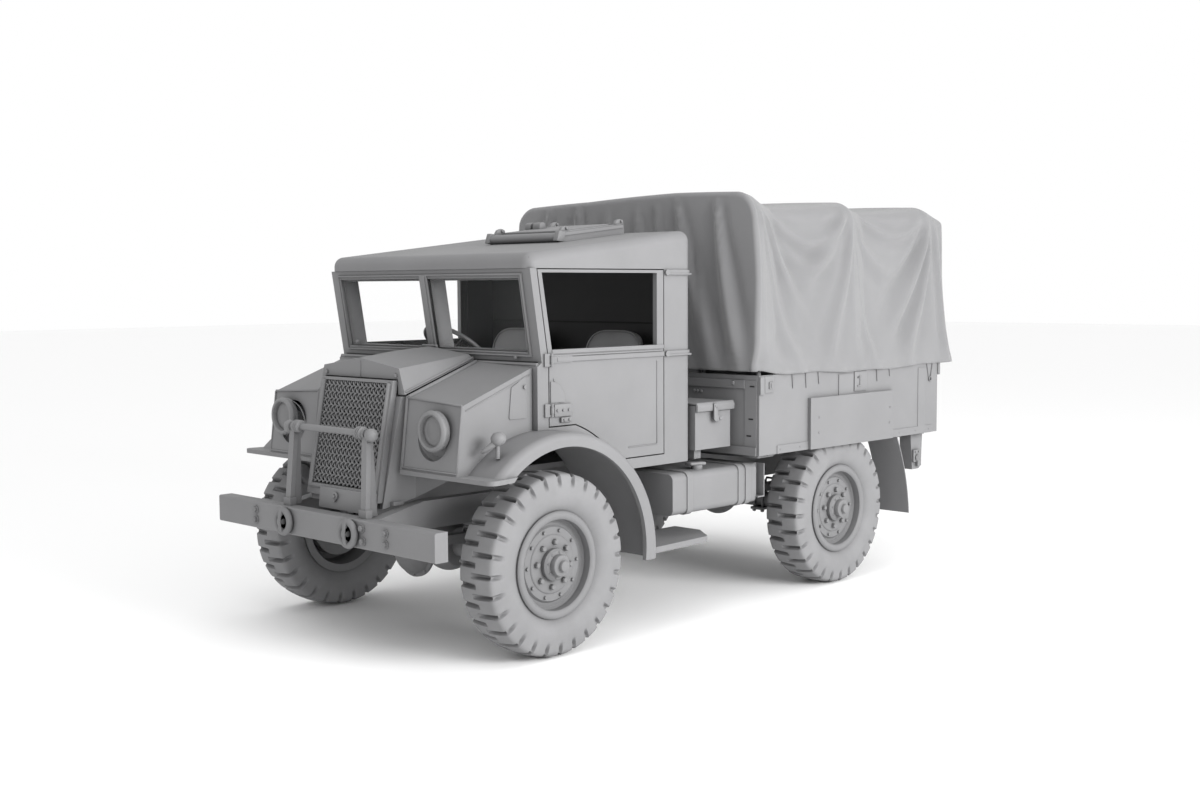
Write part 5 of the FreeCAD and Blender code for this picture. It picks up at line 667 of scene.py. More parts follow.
# Side lamps
# A bulb-shaped side lamp stands on a curved arm from the crest of each wing.
BULB_LINE = ((-0.040, 0.0), (-0.038, 0.011), (-0.032, 0.023), (-0.020, 0.032), (-0.005, 0.0360), (0.012, 0.035),
             (0.027, 0.028), (0.037, 0.016), (0.040, 0.005), (0.0405, 0.0))
bulbs = [turned(BULB_LINE, (side * 0.950, -1.832, 1.160), (side * 0.1, 1, 0.05), count=32) for side in (1, -1)]
arms = side_rods(([(0.946, -1.840, 1.148), (0.934, -1.862, 1.128), (0.918, -1.884, 1.110), (0.898, -1.902, 1.094)],
                  [0.020, 0.017, 0.013, 0.010]), count=14)
rounded("side_lamp_bulbs", bulbs, body_primer)
rounded("side_lamp_arms", arms, body_primer)

# Cab shell
# The outside has the body finish. The inner faces of the walls, roof and doors are painted with shade, a near-black
# colour for the gloom inside the cab as seen through the open windows.
CAB_INSIDE_SHADE = (0.028, 0.028, 0.029)
SCREEN_LEAN = 0.16194
ROOF_SLOPE = 0.11565


def cab_finish(name, half):
    """Body finish outside, and painted shade: a near-black colour on every face that lies within the cab's inner
    faces.
    """
    material = coat(name, PRIMER)
    tree = material.node_tree
    place = next(node for node in tree.nodes if node.type == "TEX_COORD")
    x, y, z = made_node(tree, "ShaderNodeSeparateXYZ", {0: place.outputs["Object"]}).outputs
    high = maths(tree, "GREATER_THAN", z, 1.530)
    screen = maths(tree, "MULTIPLY_ADD", z, -SCREEN_LEAN, -1.4285 + SCREEN_LEAN * 1.524)
    start = maths(tree, "ADD", maths(tree, "MULTIPLY", high, screen),
                  maths(tree, "MULTIPLY", maths(tree, "SUBTRACT", 1.0, high), -1.4545))
    roof = maths(tree, "MULTIPLY_ADD", y, ROOF_SLOPE, 2.096 + ROOF_SLOPE * 1.540 - 0.0235)
    inside = maths(tree, "LESS_THAN", maths(tree, "ABSOLUTE", x), half)
    for operation, value, limit in (("GREATER_THAN", z, 0.9315), ("LESS_THAN", y, -0.2725),
                                    ("GREATER_THAN", y, start), ("LESS_THAN", z, roof)):
        inside = maths(tree, "MULTIPLY", inside, maths(tree, operation, value, limit))
    shader = tree.nodes["Principled BSDF"]
    outer = shader.inputs["Base Color"].links[0].from_socket
    # Painted shade: faces inside the cab take a near-black colour in place of the body finish.
    mix = made_node(tree, "ShaderNodeMix", {0: inside, 6: outer, 7: CAB_INSIDE_SHADE + (1,)}, data_type="RGBA")
    tree.links.new(mix.outputs[2], shader.inputs["Base Color"])
    return material


cab_primer = cab_finish("cab_primer", 0.8405)
roof_primer = cab_finish("roof_primer", 0.8465)
dress(cab_primer, "cab_body", "windscreen_frame", "door_left", "door_right")
dress(roof_primer, "cab_roof")
# Painted shade: the dashboard, steering column, steering wheel and seat stands inside the cab take the primer at 0.55
# of its colour.
trim_primer_painted_shade = coat("trim_primer_painted_shade", toned(PRIMER, 0.55), rough=0.6)
dress(trim_primer_painted_shade, "dashboard", "steering_column", "steering_wheel")
# Painted shadow: a near-black strip across the rear wall inside the cab stands for a shadow line.
rear_strip = pressed("rear_wall_strip", [slab(-0.832, 0.832, -0.2800, -0.2735, 1.6980, 1.7080)], 0.0015)
finished("rear_wall_strip", rear_strip, coat("strip_shadow_paint", (0.006, 0.006, 0.006)))

# Windscreen
# Two clear panes in deep pressed casings stand either side of a ribbed centre post. Beading runs round the frame.
screen_glass = bpy.data.materials.new("screen_glass")
screen_glass.use_nodes = True
glass_tree = screen_glass.node_tree
glass_place = made_node(glass_tree, "ShaderNodeTexCoord", {})
film = made_node(glass_tree, "ShaderNodeTexNoise", {"Vector": glass_place.outputs["Object"], "Scale": 3.0})
film_range = made_node(glass_tree, "ShaderNodeMapRange", {"Value": film.outputs["Fac"], "To Min": 0.004,
                                                          "To Max": 0.018})
glass_shader = glass_tree.nodes["Principled BSDF"]
glass_shader.inputs["Roughness"].default_value = 0.03
glass_shader.inputs["Base Color"].default_value = (0.8, 0.82, 0.82, 1)
glass_tree.links.new(film_range.outputs["Result"], glass_shader.inputs["Alpha"])
dress(screen_glass, "windscreen_glass")


def screen_plane(z):
    return -1.452 - SCREEN_LEAN * (z - 1.524)


def screen_strip(x0, x1, z0, z1, front, rear):
    """Leaning strip between two widths and heights, from one depth behind the screen's plane to another."""
    return cut(x0, x1 - x0, [(screen_plane(z) + depth, z)
                             for depth, z in ((front, z0), (front, z1), (rear, z1), (rear, z0))])


post = [screen_strip(-0.034, 0.034, 1.556, 1.990, -0.0125, -0.0055),
        screen_strip(-0.019, 0.019, 1.560, 1.986, -0.0190, -0.0120)]
plated("screen_post", post, body_primer)
casings = []
for low_x, high_x in ((-0.7805, -0.034), (0.034, 0.7805)):
    casings += [screen_strip(low_x, low_x + 0.010, 1.578, 1.968, 0.008, 0.112),
                screen_strip(high_x - 0.010, high_x, 1.578, 1.968, 0.008, 0.112),
                screen_strip(low_x, high_x, 1.578, 1.588, 0.008, 0.080),
                screen_strip(low_x, high_x, 1.958, 1.968, 0.008, 0.080)]
plated("pane_casings", casings, body_primer, 0.0015)
beads = []
for half_x, low_z, high_z, out, radius in ((0.799, 1.558, 1.988, -0.0065, 0.0055),
                                           (0.785, 1.573, 1.973, -0.0060, 0.004)):
    ring = [(x, screen_plane(z) + out, z) for x, z in ((-half_x, low_z), (half_x, low_z), (half_x, high_z),
                                                       (-half_x, high_z))]
    for i in range(4):
        beads.append(bent_rod([ring[i], ring[(i + 1) % 4]], radius, 10))
rounded("screen_beading", beads, body_primer)
knobs = [turned(((0, 0.011), (0.010, 0.012), (0.016, 0.010), (0.019, 0.0)), (-0.690, -1.474, 1.600), (0, -1, 0.3),
                count=20),
         turned(((0, 0.009), (0.008, 0.010), (0.012, 0.008), (0.014, 0.0)), (0.692, -1.468, 1.548), (0, -1, 0),
                count=20)]
rounded("screen_catches", knobs, body_primer)

# Seats
# Two crew seats: a stuffed cushion on a pressed steel stand and a round-topped stuffed back, covered in coated
# cloth with a piped edge.
# Painted light: the cover is twice as pale as the primer, standing in for the side light that falls on the seats.
seat_cover = coat("seat_cover", toned(PRIMER, 2.0), rough=0.6, grain=500, depth=0.0005, cloud=0.08,
                  cloud_size=6, round_edge=None)


def blunt(value, power):
    """A cosine or sine drawn towards 1 or -1, which squares a round outline."""
    return math.copysign(abs(value) ** power, value)


def stuffed(name, form, thickness, place):
    """Crowned pad: form gives the rim's (across, up) at a turn, place sets a point (across, up, out) in the cab."""
    rim = [form(2 * math.pi * k / 96) for k in range(96)]
    points, rings = [], 26
    for i in range(rings + 1):
        turn = math.pi * i / rings
        share = max(0.0, math.sin(turn)) ** 0.42
        out = blunt(-math.cos(turn), 0.8) * thickness / 2
        points += [place(across * share, middle + (rise - middle) * share, out) for across, rise, middle in rim]
    return smooth_mesh(name, points, ring_faces(rings + 1, len(rim)))


def cushion_form(turn):
    pull = 1 - 0.035 * (math.cos(2 * turn) ** 2)
    return 0.215 * blunt(math.cos(turn), 0.28) * pull, 0.225 * blunt(math.sin(turn), 0.28) * pull, 0.0


def back_form(turn):
    over = math.sin(turn)
    rise = 0.155 + (0.212 * over ** 0.9 if over >= 0 else -0.335 * abs(over) ** 0.3)
    pull = 1 - 0.03 * math.exp(-(rise / 0.12) ** 2)
    return 0.212 * blunt(math.cos(turn), 0.55) * pull, rise, 0.10


def cushion_place(x, across, along, out):
    return x + across, -0.662 + along, 1.2045 + out


def back_place(x, across, up, out):
    return x + across, -0.460 + 0.19 * (up + 0.02) - out * 0.98, 1.466 + up * 0.52 + out * 0.19


stands = []
for hand, x in (("left", 0.420), ("right", -0.420)):
    piping = []
    for kind, form, place, thickness, share, middle, out in (
            ("cushion", cushion_form, cushion_place, 0.108, 0.985, 0.0, 0.034),
            ("back", back_form, back_place, 0.092, 0.97, 0.10, 0.030)):
        name = "seat_" + kind + "_" + hand
        pad = stuffed(name, form, thickness, lambda *spot: place(x, *spot))
        finished(name, pad, seat_cover)
        rim = [form(2 * math.pi * k / 72) for k in range(72)]
        piping.append([place(x, across * share, middle + (rise - middle) * share, out) for across, rise, _ in rim])
    for kind, path in zip(("cushion", "back"), piping):
        rounded("seat_" + kind + "_piping_" + hand, [bent_rod(path, 0.0045, 8, closed=True)], seat_cover)
    stands += [slab(x - 0.158, x + 0.158, -0.780, -0.430, 0.933, 0.950),
               slab(x - 0.190, x + 0.190, -0.870, -0.440, 1.135, 1.150)]
    for s in (-1, 1):
        stands += [([(x + s * 0.150, -0.770, 0.950), (x + s * 0.150, -0.440, 0.950), (x + s * 0.165, -0.430, 1.136),
                     (x + s * 0.165, -0.800, 1.136)], (-s * 0.004, 0, 0)),
                   cut(x + s * 0.150, -s * 0.018, ((-0.452, 1.140), (-0.424, 1.140), (-0.352, 1.560),
                                                   (-0.372, 1.560)))]
seat_stands = plated("seat_stands", stands, trim_primer_painted_shade, 0.0018)
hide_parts("seats")

# Steering wheel grip
# The thin steel rim is moulded over with a thick grip.
tilt = math.radians(52)
grip_path = [(-0.420 + across, -0.950 - slope * math.sin(tilt), 1.560 + slope * math.cos(tilt))
             for across, slope in circle(72, 0.205)]
grip_primer = coat("grip_primer", toned(PRIMER, 0.7), rough=0.5, round_edge=None)
rounded("steering_grip", [bent_rod(grip_path, 0.0135, 14, closed=True)], grip_primer, body="steering_wheel")

# Doors
# Each door has a ledge under its window, a pressed bead along its rear and lower edges and a broad strap hinge with
# its bolts.
for hand, side in (("left", 1), ("right", -1)):
    body = "door_" + hand
    plates = [slab(0.869, 0.8765, -1.385, -0.515, 1.5535, 1.5625), slab(0.869, 0.8825, -1.372, -1.246, 1.235, 1.301),
              slab(0.869, 0.8860, -1.325, -1.246, 1.203, 1.229)]
    plated("door_plates_" + hand, handed(plates, side), body_primer, 0.0025, body=body)
    beading = [bent_rod([(side * x, y, z) for x, y, z in path], 0.0035, 8)
               for path in (((0.8705, -0.552, 1.030), (0.8705, -0.552, 1.500)),
                            ((0.8705, -0.790, 1.026), (0.8705, -0.552, 1.026)))]
    beading.append(bent_rod([(side * 0.8700, y, z) for y, z in (
        (-1.368, 1.438), (-1.353, 1.400), (-1.339, 1.358), (-1.321, 1.308))], 0.0040, 10))
    rounded("door_beading_" + hand, beading, body_primer, body=body)
    bolts = [((side * x, y, z), (side, 0, 0)) for x, y, z in ((0.886, -1.305, 1.216), (0.886, -1.268, 1.216),
                                                              (0.8825, -1.352, 1.268), (0.8825, -1.310, 1.268),
                                                              (0.8825, -1.268, 1.268))]
    fasteners("door_bolts_" + hand, bolts, body_primer, 0.008, 0.006, body=body)


# Roof hatch fittings
# The lid is pressed up in the middle between stepped side rails. Cast brackets close the ends of its front roll, and
# lugs and a pair of upright catches hold it open or shut.
def lid_top(y):
    return 2.230 + ROOF_SLOPE * (y + 0.83)


def on_lid(x0, x1, y0, y1, low, high):
    """Slab lying on the lid's slope: low and high are heights over its top face."""
    return ([(x0, y0, lid_top(y0) + low), (x1, y0, lid_top(y0) + low), (x1, y1, lid_top(y1) + low),
             (x0, y1, lid_top(y1) + low)], (0, 0, high - low))


lid_forms = [on_lid(-0.130, 0.340, -0.800, -0.372, -0.002, 0.012)]
lid_forms += [on_lid(x - 0.016, x + 0.016, -0.845, -0.330, -0.002, 0.007) for x in (-0.176, 0.382)]
lid_forms += [cut(x - 0.018, 0.036, ((-0.892, 2.182), (-0.834, 2.176), (-0.822, 2.236), (-0.872, 2.240)))
              for x in (0.397, -0.191)]
lugs = [cut(x - 0.013, 0.026, [(y + along, lid_top(y) + rise) for along, rise in (
    (-0.042, 0.004), (0.038, 0.004), (0.030, 0.030), (0.004, 0.037), (-0.024, 0.028))])
        for x in (0.378, -0.172) for y in (-0.800, -0.345)]
uprights = [cut(x, width, ((-0.585, lid_top(-0.585) + 0.008), (-0.530, lid_top(-0.53) + 0.008), (-0.534, 2.306),
                           (-0.548, 2.313), (-0.570, 2.311), (-0.582, 2.300)))
            for x, width in ((-0.186, 0.050), (-0.118, 0.066))]
plated("hatch_pressing", lid_forms, body_primer, 0.005, body="hatch_lid")
plated("hatch_lugs", lugs + uprights, body_primer, 0.006, body="hatch_lid")
pins = [bent_rod([(x - 0.024, y, lid_top(y) + 0.022), (x + 0.024, y, lid_top(y) + 0.022)], 0.009, 12)
        for x in (0.378, -0.172) for y in (-0.795, -0.335)]
rounded("hatch_pins", pins, body_primer, 40, body="hatch_lid")

# Cab corner fittings
# Short rails carry the gutter and the belt line on behind each door.
gutter = [slab(0.869, 0.8835, -0.485, -0.262, 1.5220, 1.5340), slab(0.869, 0.8835, -0.485, -0.262, 1.9860, 1.9960)]
plated("cab_rails", both(gutter), body_primer, 0.004)

# Fuel tanks and bed bearers
# Each tank has a low hinged filler cover and sits under the ends of the bed's bearers.
tank_forms = [([(0.806, -0.240, 0.868), (0.858, -0.238, 0.868), (0.892, -0.140, 0.868), (0.842, -0.128, 0.868)],
               (0, 0, 0.018)),
              slab(0.500, 0.962, 0.262, 0.420, 0.874, 0.899)]
plated("tank_covers", both(tank_forms), body_primer, 0.005)

# Locker lid edges and hasps
# The lid's outer edge is rolled down over the box, and a bent strap hasp drops over its staple.
for hand, side in (("left", 1), ("right", -1)):
    body = "locker_lid_" + hand
    roll = [([(0.8872, -0.235, 1.182), (0.9060, -0.235, 1.186), (0.9085, -0.235, 1.220), (0.8990, -0.235, 1.238),
              (0.8872, -0.235, 1.240)], (0, 0.341, 0))]
    plated("locker_roll_" + hand, handed(roll, side), body_primer, 0.005, body=body)
    hasp = [cut(0.9095, 0.009, ((-0.098, 1.230), (-0.060, 1.230), (-0.062, 1.158), (-0.030, 1.152), (-0.022, 1.140),
                                (-0.030, 1.124), (-0.080, 1.120), (-0.096, 1.134))),
            slab(0.9185, 0.9240, -0.052, -0.020, 1.130, 1.148)]
    plated("locker_hasp_" + hand, handed(hasp, side), body_primer, 0.003, body=body)
    rivets = [((side * 0.9185, y, z), (side, 0, 0)) for y, z in ((-0.086, 1.216), (-0.072, 1.205))]
    fasteners("hasp_rivets_" + hand, rivets, body_primer, 0.005, 0.004, sides=12, body=body)

# Headboard fittings
# The corner angle is slotted for lashings, each slot drawn as a near-black plate of painted shadow, and bolts hold the
# rail and a small bracket.
slot_shadow = coat("slot_shadow", (0.012, 0.012, 0.012), rough=0.9, round_edge=None)
slot_shades = [slab(side * x - 0.017, side * x + 0.017, 0.1488, 0.1512, z - 0.004, z + 0.004)
         for side in (1, -1) for x, z in ((1.004, 1.321), (0.995, 1.124), (0.980, 1.022))]
plated("lashing_slot_shadows", slot_shades, slot_shadow, 0.0009)
fasteners("headboard_bolts", [((side * 0.864, 0.147, 1.338), (0, -1, 0)) for side in (1, -1)], body_primer,
          0.013, 0.010)
rail_rivets = [((side * x, 0.155, 1.276), (0, -1, 0)) for side in (1, -1) for x in (0.552, 0.578, 0.606)]
fasteners("headboard_rivets", rail_rivets, body_primer, 0.010, 0.007, sides=12)

# Bed side fittings
# Latch plates with keepers stand at the corners and by the middle stake, and a row of rivets holds the sill. The
# name board is riveted on and left blank.
BED_SIDE = 1.055
plates = [slab(*corners) for corners in (
    (BED_SIDE - 0.001, 1.0685, 0.152, 0.192, 1.272, 1.378), (BED_SIDE - 0.001, 1.0620, 0.202, 0.288, 1.280, 1.380),
    (1.0615, 1.0700, 0.238, 0.280, 1.303, 1.346), (1.0695, 1.0760, 0.248, 0.262, 1.310, 1.340),
    (BED_SIDE - 0.001, 1.0625, 1.142, 1.284, 1.240, 1.366), (1.0620, 1.0690, 1.196, 1.206, 1.270, 1.340),
    (1.0620, 1.0690, 1.170, 1.206, 1.268, 1.277), (1.0620, 1.0690, 1.186, 1.206, 1.331, 1.340),
    (1.036, 1.0640, 2.1605, 2.184, 1.300, 1.384), (1.038, 1.0600, 2.1605, 2.192, 1.318, 1.352))]
plated("bed_latches", both(plates), body_primer, 0.003)
# Painted shadow: the keeper holes are thin near-black plates standing for the shade inside them.
hole_shades = [slab(1.0618, 1.0634, 1.172, 1.184, 1.322, 1.334), slab(1.0548, 1.0575, 2.046, 2.070, 1.262, 1.272)]
plated("latch_hole_shadows", both(hole_shades), slot_shadow, 0.0006)
fasteners("board_rivets", side_places(1.079, ((0.732, 1.100), (0.732, 1.005), (1.533, 1.114), (1.527, 1.012))),
          body_primer, 0.007, 0.003, sides=14)
fasteners("sill_rivets", side_places(1.059, [(y, 0.930) for y in (0.36, 0.56, 1.68, 1.88, 2.05)]), body_primer,
          0.005, 0.0022, sides=12)
dress(coat("bed_boards", toned(PRIMER, 0.9), rough=0.75, grain=300, depth=0.0008), "cargo_floor")

# Rear lamps
# A box lamp with a round lens is bolted to each rear bracket.
plated("rear_lamp_boxes", both([slab(0.9495, 0.9680, 2.012, 2.088, 0.692, 0.778)]), body_primer, 0.004)
fasteners("rear_lamp_lenses", side_places(0.968, [(2.052, 0.722)]), lens_primer, 0.024, 0.012, sides=24)
fasteners("rear_lamp_bolts", side_places(0.968, [(2.030, 0.762), (2.072, 0.762)]), body_primer, 0.007, 0.006)

# Canvas tilt
# One heavy canvas cover sewn to a front wall, pulled over three tube hoops and down outside the sides of the bed.
# It sags between the hoops, hangs in swags from their shoulders, waves along its hem and is open at the rear. A
# seam runs beside the middle hoop.
TILT_HALF = 1.030
TILT_TOP = 2.483
TILT_CORNER = 0.155
TILT_CROWN_TURN = math.radians(2.5)
TILT_HEM_X = 1.0702
TILT_HEM = 1.366
TILT_LEDGE = 1.406
TILT_FRONT = 0.128
TILT_REAR = 2.322
HOOP_PLACES = (0.215, 1.1575, 2.090)
CLOTH_INSET = 0.0085
CLOTH_THICKNESS = 0.004
FRONT_CORNER = 0.034
FRONT_LIFT = 0.044
STATIONS = 150
CORNER_STEPS = 8
THREAD_PITCH = 0.0022
SEAM_PLACE = 1.325


def tilt_line(inset):
    """The cover's cross-section from the left hem over the crown to the right hem, as (x, z) and outward direction."""
    corner = TILT_CORNER - inset
    half = TILT_HALF - inset
    top = TILT_TOP - inset
    end = math.pi / 2 - TILT_CROWN_TURN
    crown = corner + (half - corner) / math.cos(end)
    knee = top - corner * math.sin(end) - crown * (1 - math.sin(end))
    side = []
    for i in range(70):
        z = TILT_HEM + (knee - TILT_HEM) * i / 69
        share = max(0, (z - TILT_LEDGE) / (knee - TILT_LEDGE))
        side.append((TILT_HEM_X - inset + (half - TILT_HEM_X + inset) * share, z))
    arc = [(half - corner + corner * math.cos(end * i / 18), knee + corner * math.sin(end * i / 18))
           for i in range(1, 19)]
    over = []
    for i in range(1, 31):
        turn = end + (math.pi / 2 - end) * i / 30
        over.append((crown * math.cos(turn), top - crown + crown * math.sin(turn)))
    line = side + arc + over
    line = line + [(-x, z) for x, z in line[-2::-1]]
    return line, len(side) - 1


def fold(points, ends, width, height, flat):
    """Ridge or hollow of cloth along a bent line: points is an (n, 2) array, ends are the line's places."""
    ends = numpy.array(ends, float)
    steps = numpy.linspace(0, 1, 40)
    n = len(ends) - 1
    line = sum((math.comb(n, k) * steps ** k * (1 - steps) ** (n - k))[:, None] * ends[k] for k in range(n + 1))
    distances = numpy.linalg.norm(points[:, None] - line[None], axis=2)
    away, along = distances.min(axis=1), steps[distances.argmin(axis=1)]
    wide = width[0] + (width[1] - width[0]) * along
    form = numpy.exp(-(away / wide) ** 2) - 0.42 * numpy.exp(-((away - 2.0 * wide) / wide) ** 2)
    fade = numpy.clip((along + flat) / 0.22, 0, 1) * numpy.clip((1.0 + flat - along) / 0.3, 0, 1)
    return height * form * fade * fade * (3 - 2 * fade)


# Each fold of the flank: its line from (y, z) to (y, z), its width at both ends and how far it stands out
FLANK_FOLDS = (
    (((0.19, 2.46), (0.38, 2.20), (0.53, 1.82), (0.70, 1.52)), (0.020, 0.070), 0.029, 0.0),
    (((0.20, 2.37), (0.31, 2.05), (0.46, 1.67), (0.54, 1.40)), (0.018, 0.060), 0.022, 0.1),
    (((0.24, 2.30), (0.52, 1.86), (0.74, 1.50)), (0.020, 0.055), -0.017, 0.0),
    (((0.22, 2.47), (0.46, 2.22), (0.76, 2.02), (1.02, 2.26), (1.14, 2.45)), (0.030, 0.034), 0.020, 0.0),
    (((0.25, 2.39), (0.50, 2.08), (0.76, 1.86), (1.00, 2.10), (1.13, 2.39)), (0.034, 0.040), 0.014, 0.0),
    (((1.15, 2.45), (0.98, 2.20), (0.76, 1.98), (0.58, 1.86)), (0.022, 0.070), 0.020, 0.0),
    (((1.15, 2.30), (1.12, 1.95), (0.96, 1.70), (0.86, 1.42)), (0.018, 0.060), 0.019, 0.1),
    (((1.20, 2.39), (1.30, 2.14), (1.48, 2.02), (1.66, 2.00)), (0.020, 0.060), 0.020, 0.0),
    (((1.19, 2.45), (1.45, 2.26), (1.66, 2.16), (1.92, 2.26), (2.06, 2.45)), (0.028, 0.032), 0.019, 0.0),
    (((2.09, 2.43), (2.02, 2.05), (1.78, 1.78), (1.45, 1.52)), (0.018, 0.075), 0.032, 0.0),
    (((2.10, 2.26), (2.04, 1.92), (1.90, 1.66), (1.74, 1.42)), (0.016, 0.060), 0.026, 0.1),
    (((2.08, 2.37), (1.92, 2.08), (1.70, 1.92), (1.50, 1.84)), (0.018, 0.060), -0.017, 0.0),
    (((1.22, 2.20), (1.27, 1.90), (1.34, 1.60), (1.36, 1.42)), (0.018, 0.045), 0.013, 0.1),
    (((2.16, 2.30), (2.20, 1.95), (2.23, 1.60), (2.26, 1.40)), (0.022, 0.035), 0.017, 0.1))
# Each fold of the front wall: from (x, z) to (x, z)
WALL_FOLDS = (
    (((0.750, 2.43), (0.766, 2.15), (0.828, 1.83), (0.925, 1.40)), (0.022, 0.060), 0.036, 0.1),
    (((0.430, 2.45), (0.480, 2.15), (0.581, 1.83), (0.706, 1.40)), (0.020, 0.060), 0.028, 0.1),
    (((0.590, 2.20), (0.606, 2.00), (0.656, 1.71), (0.755, 1.42)), (0.018, 0.034), 0.017, 0.0),
    (((0.261, 2.47), (0.270, 2.30), (0.300, 2.12)), (0.014, 0.030), 0.017, 0.0),
    (((0.090, 2.47), (0.120, 2.10), (0.180, 1.60)), (0.018, 0.055), 0.020, 0.0),
    (((-0.160, 2.47), (-0.180, 2.05), (-0.260, 1.50)), (0.018, 0.060), 0.022, 0.0),
    (((-0.420, 2.45), (-0.450, 2.10), (-0.560, 1.42)), (0.020, 0.060), 0.028, 0.1),
    (((-0.700, 2.43), (-0.740, 2.05), (-0.850, 1.42)), (0.022, 0.060), 0.031, 0.1))


def rear_end(z):
    """Where the open rear end of the cover lies: nearly upright, drawn back a little towards the hem."""
    return 2.248 + 0.052 * numpy.clip((1.75 - z) / 0.35, 0, 1) ** 2


def corner_reach(z):
    """How far the upright front corner stands out: a full ridge at mid height, pulled in above the hem."""
    return 0.024 * numpy.exp(-((z - 2.0) / 0.33) ** 2) - 0.030 * numpy.clip((1.62 - z) / 0.2, 0, 1) ** 2


def front_crest(x, y):
    """How far the crown stands up over the front hoop, where the cloth is bunched towards the left shoulder."""
    across = numpy.clip((x + 0.35) / 0.75, 0, 1) * numpy.clip((1.06 - x) / 0.12, 0, 1)
    return 0.024 * across * math.exp(-((y - TILT_FRONT) / 0.13) ** 2)


# Each bay between two hoops, from y to y, and how deep the cloth sags there; the deepest place is near its front
BAYS = ((HOOP_PLACES[0], HOOP_PLACES[1], 0.052), (HOOP_PLACES[1], HOOP_PLACES[2], 0.052))


def cloth_depth(y, z, side):
    """How far the flank and crown stand out from the taut cover at places along the bed and up the side."""
    depth = numpy.zeros(len(y))
    rise = numpy.clip((z - TILT_LEDGE) / 0.30, 0, 1)
    rise = rise * rise * (3 - 2 * rise)
    lean = 0.22
    for start, end, sag in BAYS:
        inside = (y >= start) & (y < end)
        share = numpy.clip((y - start) / (end - start), 0, 1)
        fall = numpy.sin(numpy.clip(share / lean, 0, 1) * math.pi / 2) ** 1.3
        climb = 1 - numpy.clip((share - lean) / (1 - lean), 0, 1) ** 1.7
        depth -= numpy.where(inside, sag * fall * climb, 0) * rise
    shift = 0.0 if side > 0 else 0.11
    places = numpy.stack([y + shift, z], axis=1)
    below_crown = numpy.clip((2.45 - z) / 0.14, 0, 1)
    depth += below_crown * sum(fold(places, *row) for row in FLANK_FOLDS)
    hem = numpy.exp(-((z - 1.36) / 0.07) ** 2)
    depth += hem * (0.004 + 0.005 * numpy.sin(y * 14.2 + side) + 0.004 * numpy.sin(y * 31.0 + 2 * side))
    depth += 0.022 * numpy.clip((y - 2.10) / 0.16, 0, 1) ** 2 * numpy.clip((1.75 - z) / 0.4, 0, 1) ** 2
    from_hoop = numpy.min([numpy.abs(y - h) for h in HOOP_PLACES], axis=0)
    floor = -0.30 * numpy.clip(from_hoop - 0.010, 0, None) * numpy.clip((z - TILT_LEDGE) / 0.12, 0, 1)
    depth = numpy.maximum(depth, floor)
    depth += corner_reach(z) * numpy.exp(-(numpy.clip(y - TILT_FRONT - FRONT_CORNER, 0, None) / 0.055) ** 2)
    droop = 0.062 * numpy.clip((y - HOOP_PLACES[2]) / 0.16, 0, 1) ** 1.6
    return depth - droop * numpy.clip((z - 2.345) / 0.11, 0, 1)


